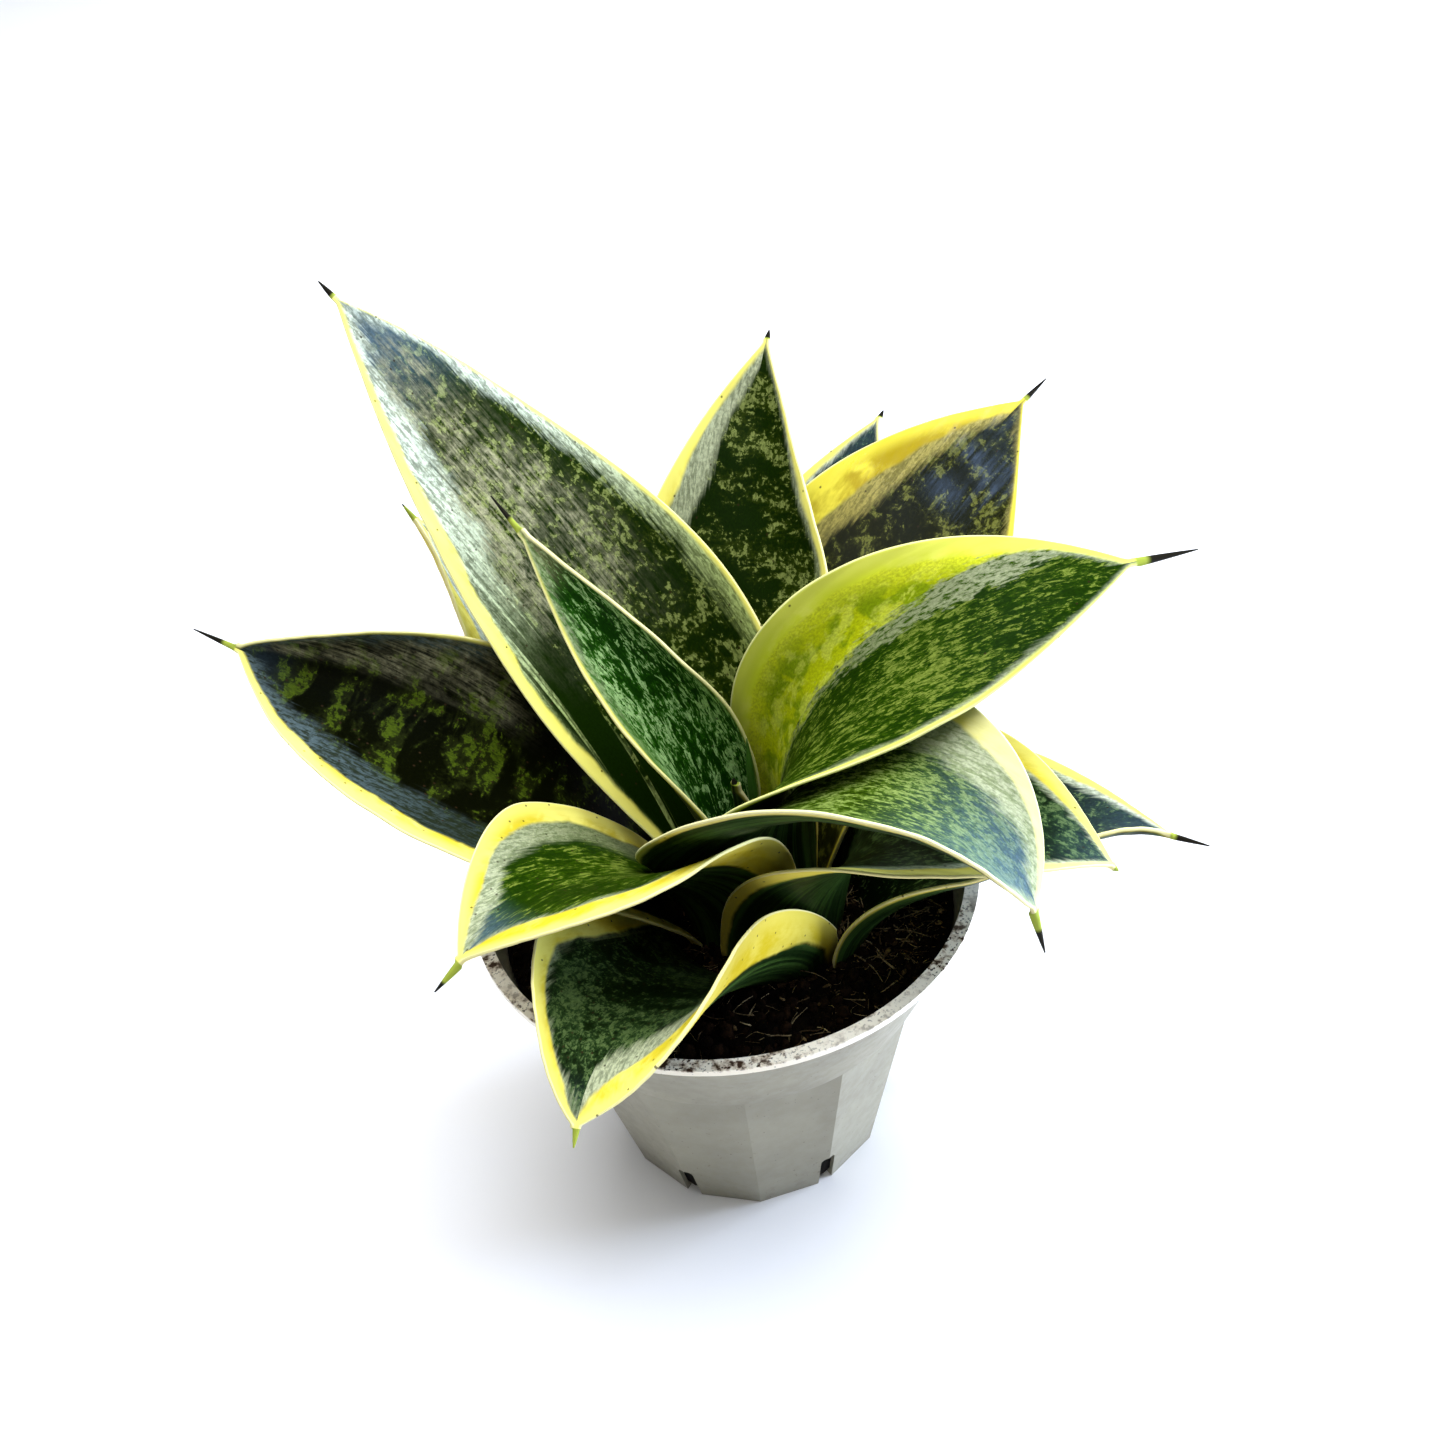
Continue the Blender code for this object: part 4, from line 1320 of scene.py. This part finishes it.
@dataclass(frozen=True)
class Pot:
    """One moulded pot: panelled body, round flared collar, flat lip and drainage notches."""

    rim_radius: float
    height: float
    lip_width: float = 3.3
    lip_depth: float = 1.6
    lip_overhang: float = 0.5
    collar_foot_z: float = 54.5
    collar_foot_radius: float = 47.4
    body_top_radius: float = 46.4
    foot_radius: float = 33.5
    wall: float = 1.2
    floor: float = 1.6
    panels: int = 12
    first_corner: float = -93.0
    steps_per_panel: int = 12
    notch_width: float = 4.0
    notch_height: float = 12.0
    notch_depth: float = 2.6
    notch_rounding: float = 0.38   # how far its top corners are cut back, as a share of its width
    cutter_below: float = 2.0      # how far the block that cuts a notch stands out of the pot
    cutter_outward: float = 6.0
    edge_radius: float = 0.45
    edges_above: float = 18.0      # edges with a sharper turn than this are softened

    @classmethod
    def from_frame(cls) -> "Pot":
        """Read the pot's rim and height from its solid."""
        low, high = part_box("pot")
        return cls((high.x - low.x) / 2 / MM, high.z / MM)

    def ring(self, radius: float, z: float, panelled: bool) -> np.ndarray:
        """Draw one level of the pot.

        Args:
            radius: of the circle, or of the panelled figure's corners.
            z: its height.
            panelled: whether it has panels.

        Returns:
            Its points, the last on the first.
        """
        count = self.panels * self.steps_per_panel
        steps = np.arange(count + 1) * math.tau / count
        reach = np.full(count + 1, radius)
        if panelled:
            half_panel = math.pi / self.panels
            off_middle = steps % (2 * half_panel + 1e-12) - half_panel
            reach = radius * math.cos(half_panel) / np.cos(off_middle)
        return circle(0, 0, z, reach, math.radians(self.first_corner) + steps)

    def body_radius(self, z: float) -> float:
        """Corner radius of the panelled body, outside, at a height."""
        return self.foot_radius + (self.body_top_radius - self.foot_radius) * z / self.collar_foot_z

    def collar_radius(self, z: float) -> float:
        """Outer radius of the flared collar at a height."""
        share = (z - self.collar_foot_z) / (self.height - self.collar_foot_z)
        return self.collar_foot_radius + (self.rim_radius - self.collar_foot_radius) * share

    def inner_body_radius(self, z: float, clearance: float = 0.0) -> float:
        """Corner radius of the panelled space inside the body, less a clearance."""
        return self.body_radius(z) - (self.wall + clearance) / math.cos(math.pi / self.panels)

    def inner_collar_radius(self, z: float, clearance: float = 0.0) -> float:
        """Radius of the round space inside the collar, less a clearance."""
        return self.collar_radius(z) - self.wall - clearance

    def build(self, material: bpy.types.Material) -> bpy.types.Object:
        """Mould the pot, cut its notches and soften its edges.

        Args:
            material: its plastic.

        Returns:
            The finished piece.
        """
        lip_foot_z = self.height - self.lip_depth
        step_z = self.collar_foot_z + self.wall
        piece = place(rolled([
            self.ring(self.foot_radius, 0, True),
            self.ring(self.body_top_radius, self.collar_foot_z, True),
            self.ring(self.collar_foot_radius, self.collar_foot_z, False),
            self.ring(self.collar_radius(lip_foot_z) - self.lip_overhang, lip_foot_z, False),
            self.ring(self.rim_radius, lip_foot_z, False),
            self.ring(self.rim_radius, self.height, False),
            self.ring(self.rim_radius - self.lip_width, self.height, False),
            self.ring(self.inner_collar_radius(lip_foot_z), lip_foot_z - self.wall, False),
            self.ring(self.inner_collar_radius(step_z), step_z, False),
            self.ring(self.inner_body_radius(step_z), step_z, True),
            self.ring(self.inner_body_radius(self.floor), self.floor, True),
        ]), "pot_moulding", material, "pot")
        self.cut_notches(piece)
        soften = piece.modifiers.new("moulded_edges", "BEVEL")
        soften.width = self.edge_radius * MM
        soften.segments = 3
        soften.limit_method = "ANGLE"
        soften.angle_limit = math.radians(self.edges_above)
        soften.harden_normals = True
        return piece

    def cut_notches(self, piece: bpy.types.Object) -> None:
        """Cut the drainage notches out of the pot's mesh.

        Args:
            piece: the pot.
        """
        cutter = self.notch_cutter()
        cut = piece.modifiers.new("notches", "BOOLEAN")
        cut.operation = "DIFFERENCE"
        cut.solver = "EXACT"
        cut.object = cutter
        bpy.context.view_layer.update()
        graph = bpy.context.evaluated_depsgraph_get()
        notched = bpy.data.meshes.new_from_object(piece.evaluated_get(graph))
        piece.modifiers.clear()
        piece.data = notched
        bpy.data.objects.remove(cutter)

    def notch_cutter(self) -> bpy.types.Object:
        """Set upright round-topped blocks at every second corner of the foot.

        Returns:
            One object of all the blocks.
        """
        mesh = bmesh.new()
        length = self.notch_depth + self.cutter_outward
        height = self.notch_height + self.cutter_below
        notches = self.panels // 2
        block = bmesh.ops.create_cube(mesh, size=1.0)["verts"]
        bmesh.ops.scale(mesh, vec=(length, self.notch_width, height), verts=block)
        middle = (self.foot_radius - self.notch_depth + length / 2, 0, height / 2 - self.cutter_below)
        bmesh.ops.translate(mesh, vec=middle, verts=block)
        top = [edge for edge in mesh.edges
               if min(vert.co.z for vert in edge.verts) > middle[2]
               and abs(edge.verts[0].co.y - edge.verts[1].co.y) < 0.1]
        rounding = self.notch_width * self.notch_rounding
        bmesh.ops.bevel(mesh, geom=top, offset=rounding, segments=5, profile=0.5, affect="EDGES", material=-1)
        whole = mesh.verts[:] + mesh.edges[:] + mesh.faces[:]
        bmesh.ops.spin(mesh, geom=whole, cent=(0, 0, 0), axis=(0, 0, 1), dvec=(0, 0, 0),
                       angle=math.tau * (notches - 1) / notches, steps=notches - 1, use_duplicate=True)
        first = math.radians(self.first_corner) + math.tau / self.panels
        bmesh.ops.rotate(mesh, cent=(0, 0, 0), matrix=Matrix.Rotation(first, 3, "Z"), verts=mesh.verts[:])
        bmesh.ops.scale(mesh, vec=(MM, MM, MM), verts=mesh.verts[:])
        bmesh.ops.recalc_face_normals(mesh, faces=mesh.faces[:])
        return stand("notch_cutter", settled(mesh, "notch_cutter"))


@dataclass(frozen=True)
class Litter(ABC):
    """One kind of small bits on the soil: how many, how large, and how they lie."""

    piece: str
    seed: int
    count: int                 # of each of its shapes
    smallest: float
    largest: float
    flat: tuple[float, float, float] = (1.0, 1.0, 1.0)     # how a copy is squeezed along its axes
    lie: float = 180.0         # how far a copy may tip from lying flat
    sink: float = 0.3          # how deep it sits, as a share of its size
    heaped: float = 0.0        # share of the copies that gather in a heap
    heap_x: float = 34.0
    heap_y: float = -12.0
    heap_spread: float = 9.0
    shapes: int = 1
    rarity: float = 2.5        # above 1, large copies are rarer than small ones
    reach: float = 0.62        # half a copy's extent, with its unevenness, as a share of its size

    @abstractmethod
    def shape(self, number: int, draw: random.Random) -> bmesh.types.BMesh:
        """Make one of its shapes, about 1 mm large, before it is copied."""


class Crumbs(Litter):
    """Loose crumbs of peat: lumps that are uneven all over."""

    def shape(self, number: int, draw: random.Random) -> bmesh.types.BMesh:
        """Make a lump.

        Args:
            number: which of the shapes; there is one; not used.
            draw: the seeded draw.

        Returns:
            The lump.
        """
        lump = bmesh.new()
        bmesh.ops.create_icosphere(lump, subdivisions=1, radius=0.5)
        for vert in lump.verts:
            vert.co *= draw.uniform(0.75, 1.2)
        return lump


class Chips(Litter):
    """Small flakes of bark and straw with uneven ends."""

    def shape(self, number: int, draw: random.Random) -> bmesh.types.BMesh:
        """Make a flake, still as thick as it is long.

        Args:
            number: which of the shapes; there is one; not used.
            draw: the seeded draw.

        Returns:
            The flake.
        """
        flake = bmesh.new()
        bmesh.ops.create_icosphere(flake, subdivisions=1, radius=0.5)
        for vert in flake.verts:
            vert.co.x *= draw.uniform(0.8, 1.2)
        return flake


@dataclass(frozen=True)
class Fibres(Litter):
    """Fine pale root and straw fibres, each shape with its own bend. Lengths are shares of a fibre's."""

    bends: int = 7
    sides: int = 3
    thickness: float = 0.028
    thinning: float = 0.6      # share of the thickness that is lost towards the end
    sway: float = 0.09
    arch: float = 0.05

    def shape(self, number: int, draw: random.Random) -> bmesh.types.BMesh:
        """Bend a strand.

        Args:
            number: which of the bends, from 0; each winds a quarter turn more than the last.
            draw: the seeded draw.

        Returns:
            The strand.
        """
        share = np.linspace(0, 1, self.bends + 1)
        sweep = draw.uniform(0.5, 1.6)
        y = self.sway * sweep * np.sin(share * math.pi * (0.8 + 0.5 * number))
        z = self.arch * np.sin(share * math.pi)
        turn = np.linspace(0, math.tau, self.sides + 1)
        thick = self.thickness * (1 - self.thinning * share)
        strand = rolled(np.stack([
            (share - 0.5)[:, None] + 0 * turn[None, :],
            y[:, None] + np.outer(thick, np.cos(turn)),
            z[:, None] + np.outer(thick, np.sin(turn)),
        ], axis=-1))
        bmesh.ops.scale(strand, vec=(1 / MM, 1 / MM, 1 / MM), verts=strand.verts[:])
        return strand


@dataclass(frozen=True)
class Soil:
    """Peat potting mix: the body that fills the pot, with crumbs, chips and fibres on it."""

    pot: Pot
    crown: Crown
    top_z: float = 72.0
    fall: float = 1.0          # how much lower it lies at the pot's wall
    relief: float = 0.9        # height of its lumps
    waves: int = 7
    wavelengths: tuple[float, float] = (9.0, 26.0)
    seed: int = 7
    gap: float = 0.3
    circles: int = 34          # rows of its mesh from the wall to the hole
    grit_size: float = 2.6
    grit_height: float = 0.45
    grit_layers: tuple[float, float, int] = (0.7, 2.0, 4)  # how fast they fade, how much finer, how many
    clear_of_wall: float = 0.6     # room between the wall and the bits
    crumbs: Litter = Crumbs("soil_crumbs", 7, 3200, 0.8, 4.4, sink=0.35)
    chips: Litter = Chips("soil_chips", 8, 620, 0.7, 2.6, (1.0, 0.55, 0.22), 35.0, 0.1, heaped=0.4)
    fibres: Litter = Fibres("soil_fibres", 9, 260, 2.5, 11.0, lie=16.0, sink=0.42, heaped=0.35, shapes=4)

    def height(self, x: float, y: float) -> float:
        """Find how high the soil's surface is.

        Args:
            x: the place, across.
            y: the place, towards the back.

        Returns:
            The height there, or the leaves' foot over the rootstock's hole.
        """
        crown = self.crown
        hole = crown.root_radius + self.gap
        wall = self.pot.inner_collar_radius(self.top_z - self.fall, self.gap)
        share = min(max((wall - math.hypot(x, y)) / max(wall - hole, 1), 0), 1)
        lumps = float(self.lumps(np.array([x]), np.array([y]))[0]) * (1 - share / 2)
        base = self.top_z - self.fall * (1 - share) + self.relief * lumps
        return base if math.hypot(x - crown.x, y - crown.y) > hole else crown.foot_z

    def lumps(self, x: np.ndarray, y: np.ndarray) -> np.ndarray:
        """Raise the soil's lumps: a few crossed waves from a seeded draw.

        Args:
            x: places on the soil, across.
            y: the same places, towards the back.

        Returns:
            The heights there, about -1 to 1.
        """
        draw = np.random.default_rng(self.seed)
        height = np.zeros_like(x)
        for _ in range(self.waves):
            direction = draw.uniform(0, math.tau)
            wavelength = draw.uniform(*self.wavelengths)
            phase = draw.uniform(0, math.tau)
            along = x * math.cos(direction) + y * math.sin(direction)
            height += np.sin(math.tau * along / wavelength + phase)
        return height / math.sqrt(self.waves)

    def build(self, material: bpy.types.Material) -> bpy.types.Object:
        """Fill the pot with soil that has a crumbly top and a plain hole for the rootstock.

        Args:
            material: the peat.

        Returns:
            The finished piece.
        """
        pot, crown = self.pot, self.crown
        foot_z = pot.floor + self.gap
        step_z = pot.collar_foot_z + pot.wall + self.gap
        edge_z = self.top_z - self.fall
        rings = [
            pot.ring(pot.inner_body_radius(foot_z, self.gap), foot_z, True),
            pot.ring(pot.inner_body_radius(step_z, self.gap), step_z, True),
            pot.ring(pot.inner_collar_radius(step_z, self.gap), step_z, False),
            pot.ring(pot.inner_collar_radius(edge_z, self.gap), edge_z, False),
        ]
        wall = rings[-1]
        steps = np.arange(len(wall)) * math.tau / (len(wall) - 1) + math.radians(pot.first_corner)
        hole = circle(crown.x, crown.y, self.top_z, crown.root_radius + self.gap, steps)
        for number in range(1, self.circles + 1):
            share = number / self.circles
            ring = wall * (1 - share) + hole * share
            ring[:, 2] += self.relief * self.lumps(ring[:, 0], ring[:, 1]) * (1 - share / 2)
            for point in ring:
                spot = Vector((point[0], point[1], 0)) / self.grit_size
                point[2] += self.grit_height * noise.fractal(spot, *self.grit_layers)
            rings.append(ring)
        floor = hole.copy()
        floor[:, 2] = crown.root_z - self.gap
        return place(rolled(rings + [floor]), "soil_body", material, "soil")

    def scatter(self, litter: Litter, material: bpy.types.Material) -> bpy.types.Object:
        """Lay one kind of bits on the soil, also between the leaf bases.

        Args:
            litter: what is scattered.
            material: its colours.

        Returns:
            All the bits as one piece.
        """
        draw = random.Random(litter.seed)
        made = bmesh.new()
        for number in range(litter.shapes):
            bit = settled(litter.shape(number, draw), "scattered_bit")
            bit.attributes.new(TINT, "FLOAT", "POINT")
            for matrix, tint in self.spots(litter, draw):
                whole = Matrix.Scale(MM, 4) @ matrix
                bit.attributes[TINT].data.foreach_set("value", [tint] * len(bit.vertices))
                bit.transform(whole)
                made.from_mesh(bit)
                bit.transform(whole.inverted())
            bpy.data.meshes.remove(bit)
        return place(made, litter.piece, material)

    def spots(self, litter: Litter, draw: random.Random) -> list[tuple[Matrix, float]]:
        """Draw places on the soil's surface, clear of the pot's wall.

        Args:
            litter: what is scattered and how it lies.
            draw: the seeded draw.

        Returns:
            Each copy's place in millimetres and its tint from 0 to 1.
        """
        found = []
        reach = self.pot.inner_collar_radius(self.top_z, self.gap) - self.clear_of_wall
        tip = math.radians(litter.lie)
        while len(found) < litter.count:
            scale = litter.smallest + (litter.largest - litter.smallest) * draw.random() ** litter.rarity
            room = reach - scale * litter.flat[0] * litter.reach
            if draw.random() < litter.heaped:
                x = draw.gauss(litter.heap_x, litter.heap_spread)
                y = draw.gauss(litter.heap_y, litter.heap_spread)
            else:
                angle = draw.uniform(0, math.tau)
                radius = room * math.sqrt(draw.random())
                x, y = radius * math.cos(angle), radius * math.sin(angle)
            wide, deep = draw.uniform(0.8, 1.2), draw.uniform(0.7, 1.3)
            turn = Matrix.Rotation(draw.uniform(0, math.tau), 4, "Z")
            turn @= Matrix.Rotation(draw.uniform(-tip, tip), 4, "X")
            turn @= Matrix.Rotation(draw.uniform(-tip, tip), 4, "Y")
            tint = draw.random()
            if math.hypot(x, y) > room:
                continue
            z = self.height(x, y) + scale * (0.5 - litter.sink)
            along, over, up = litter.flat
            flat = Matrix.Diagonal((along * wide, over * deep, up, 1.0))
            found.append((Matrix.Translation((x, y, z)) @ turn @ flat @ Matrix.Scale(scale, 4), tint))
        return found


@dataclass(frozen=True)
class Rootstock:
    """The squat rootstock that the leaves stand on."""

    crown: Crown
    round_off: float = 3.0
    dents: float = 0.25        # how deep its uneven skin goes
    dents_around: float = 4.0  # how closely the dents follow one another round it
    dent_height: float = 2.0
    columns: int = 96
    rows: int = 10

    def build(self, material: bpy.types.Material) -> bpy.types.Object:
        """Turn a short thick stem, rounded below, its uneven skin inside its solid's outline.

        Args:
            material: its skin.

        Returns:
            The finished piece.
        """
        crown, off = self.crown, self.round_off
        radius, low_z, high_z = crown.root_radius, crown.root_z, crown.root_top_z
        turn = np.linspace(0, math.tau, self.columns + 1)
        profile = [(radius - off * (1 - math.sin(angle)), low_z + off * (1 - math.cos(angle)))
                   for angle in np.linspace(0, math.pi / 2, self.rows // 2)]
        profile += [(radius, z) for z in np.linspace(low_z + off, high_z, self.rows // 2 + 1)[1:]]
        rings = []
        for ring_radius, z in profile:
            around = circle(0, 0, z / self.dent_height, self.dents_around, turn)
            skin = [self.dents * noise.noise(Vector(spot)) - self.dents for spot in around]
            rings.append(circle(crown.x, crown.y, z, ring_radius + np.array(skin), turn))
        return place(rolled(rings), "rootstock_skin", material, "rootstock")


@dataclass(frozen=True)
class Softbox:
    """One square light that faces the plant. Lengths are in metres."""

    name: str
    place_at: tuple[float, float, float]
    side: float
    watts: float
    colour: str
    mirrored: bool = True      # whether glossy surfaces mirror it


@dataclass(frozen=True)
class Studio:
    """Floor, lights and the camera at the photograph's viewing angle.

    There is daylight above and at two heights on the right, two sky panels and a weak fill in front.
    Only the sky panels and the fill are mirrored by the leaves, so their greens stay deep.
    """

    distance: float = 450.0        # from the point on the pot's axis that the camera circles
    target_z: float = 60.0
    elevation: float = 45.15
    pan: float = 0.59
    tilt: float = 6.68
    roll: float = -7.73
    focal_pixels: float = 1830.44
    picture_pixels: float = 1445.0
    sensor: float = 36.0
    clip_m: tuple[float, float] = (0.01, 20.0)
    floor_reach_m: float = 3.0
    floor_paint: str = "F4F4F2"
    air: str = "DDE4F0"
    air_strength: float = 0.18
    softboxes: tuple[Softbox, ...] = (
        Softbox("softbox_above", (0.15, 0.2, 1.3), 1.6, 43.0, "F8F9FF", mirrored=False),
        Softbox("softbox_right", (1.4, 0.15, 0.4), 0.7, 28.0, "D2E2FF", mirrored=False),
        Softbox("softbox_low_right", (1.2, 0.21, 0.1), 0.5, 24.0, "D8E4FF", mirrored=False),
        Softbox("sky_panel_above", (0.1, -0.33, 1.6), 0.24, 1.4, "A4C6FF"),
        Softbox("sky_panel_right", (1.5, 0.4, 0.45), 1.0, 1.5, "A8C8FF"),
        Softbox("fill_front", (-0.6, -1.2, 1.5), 1.0, 3.0, "FFF6EA"),
    )

    def camera(self) -> None:
        """Place the camera."""
        data = bpy.data.cameras.new("camera")
        data.sensor_width = self.sensor
        data.lens = self.sensor * self.focal_pixels / self.picture_pixels
        data.clip_start, data.clip_end = self.clip_m
        camera = stand("camera", data)
        elevation = math.radians(self.elevation)
        back = Vector((0, -math.cos(elevation), math.sin(elevation)))
        right = Vector((1, 0, 0))
        forward = -back
        up = right.cross(forward)
        swing = Matrix.Rotation(-math.radians(self.pan), 3, up)
        forward, right = swing @ forward, swing @ right
        nod = Matrix.Rotation(math.radians(self.tilt), 3, right)
        forward, up = nod @ forward, nod @ up
        lean = Matrix.Rotation(-math.radians(self.roll), 3, forward)
        right, up = lean @ right, lean @ up
        turn = Matrix((right, up, -forward)).transposed()
        place_at = Vector((0, 0, self.target_z * MM)) + back * self.distance * MM
        camera.matrix_world = Matrix.Translation(place_at) @ turn.to_4x4()
        bpy.context.scene.camera = camera

    def floor(self) -> None:
        """Lay a plain pale floor."""
        mesh = bmesh.new()
        bmesh.ops.create_grid(mesh, x_segments=1, y_segments=1, size=self.floor_reach_m)
        data = settled(mesh, "studio_floor")
        paint = Shading("painted_studio_floor", 0.9)
        paint.shader.inputs["Base Color"].default_value = linear(self.floor_paint)
        data.materials.append(paint.material)
        stand("studio_floor", data)

    def hang(self, softbox: Softbox) -> None:
        """Hang one softbox.

        Args:
            softbox: the light.
        """
        data = bpy.data.lights.new(softbox.name, "AREA")
        data.shape = "SQUARE"
        data.size = softbox.side
        data.energy = softbox.watts
        data.color = linear(softbox.colour)[:3]
        lamp = stand(softbox.name, data)
        lamp.location = softbox.place_at
        aim = Vector((0, 0, self.target_z * MM)) - Vector(softbox.place_at)
        lamp.rotation_euler = aim.to_track_quat("-Z", "Y").to_euler()
        lamp.visible_glossy = softbox.mirrored

    def lights(self) -> None:
        """Hang the softboxes and fill the room with weak light from all round."""
        for softbox in self.softboxes:
            self.hang(softbox)
        world = bpy.data.worlds.new("studio_air")
        world.use_nodes = True
        background = world.node_tree.nodes["Background"]
        background.inputs["Color"].default_value = linear(self.air)
        background.inputs["Strength"].default_value = self.air_strength
        bpy.context.scene.world = world
        bpy.context.scene.view_settings.view_transform = "Standard"


def main() -> None:
    """Build the plant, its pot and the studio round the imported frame."""
    logging.basicConfig(level=logging.INFO, format="%(relativeCreated)7.0f ms  %(message)s")
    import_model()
    crown = Crown.from_frame()
    studio = Studio()
    studio.camera()
    studio.floor()
    studio.lights()
    pot = Pot.from_frame()
    pot.build(PotPlastic(pot.height, pot.notch_height).material())
    soil = Soil(pot, crown)
    soil.build(PlantMatter("damp_peat", "040302", "140D08", 0.95).material())
    for litter, matter in (
        (soil.crumbs, PlantMatter("damp_peat_crumbs", "040302", "2A1B10", 0.95, tinted=True)),
        (soil.chips, PlantMatter("dry_bark_chips", "1C120A", "BFA06C", 0.85, tinted=True)),
        (soil.fibres, PlantMatter("dry_root_fibre", "3A2A18", "DCC898", 0.75, tinted=True)),
    ):
        soil.scatter(litter, matter.material())
    Rootstock(crown).build(PlantMatter("dry_rhizome_skin", "2A1C12", "5C4830", 0.9).material())
    Spike(crown).build(YoungLeafSkin().material())
    for seed, (name, (form, marking)) in enumerate(LEAVES.items(), 1):
        slot = "young_leaf" if name == "leaf_youngest" else "leaf"
        skin = LeafSkin(name, marking, seed).build()
        Leaf(name, form, marking, crown, seed).build(skin, slot)


if __name__ == "__main__":
    main()
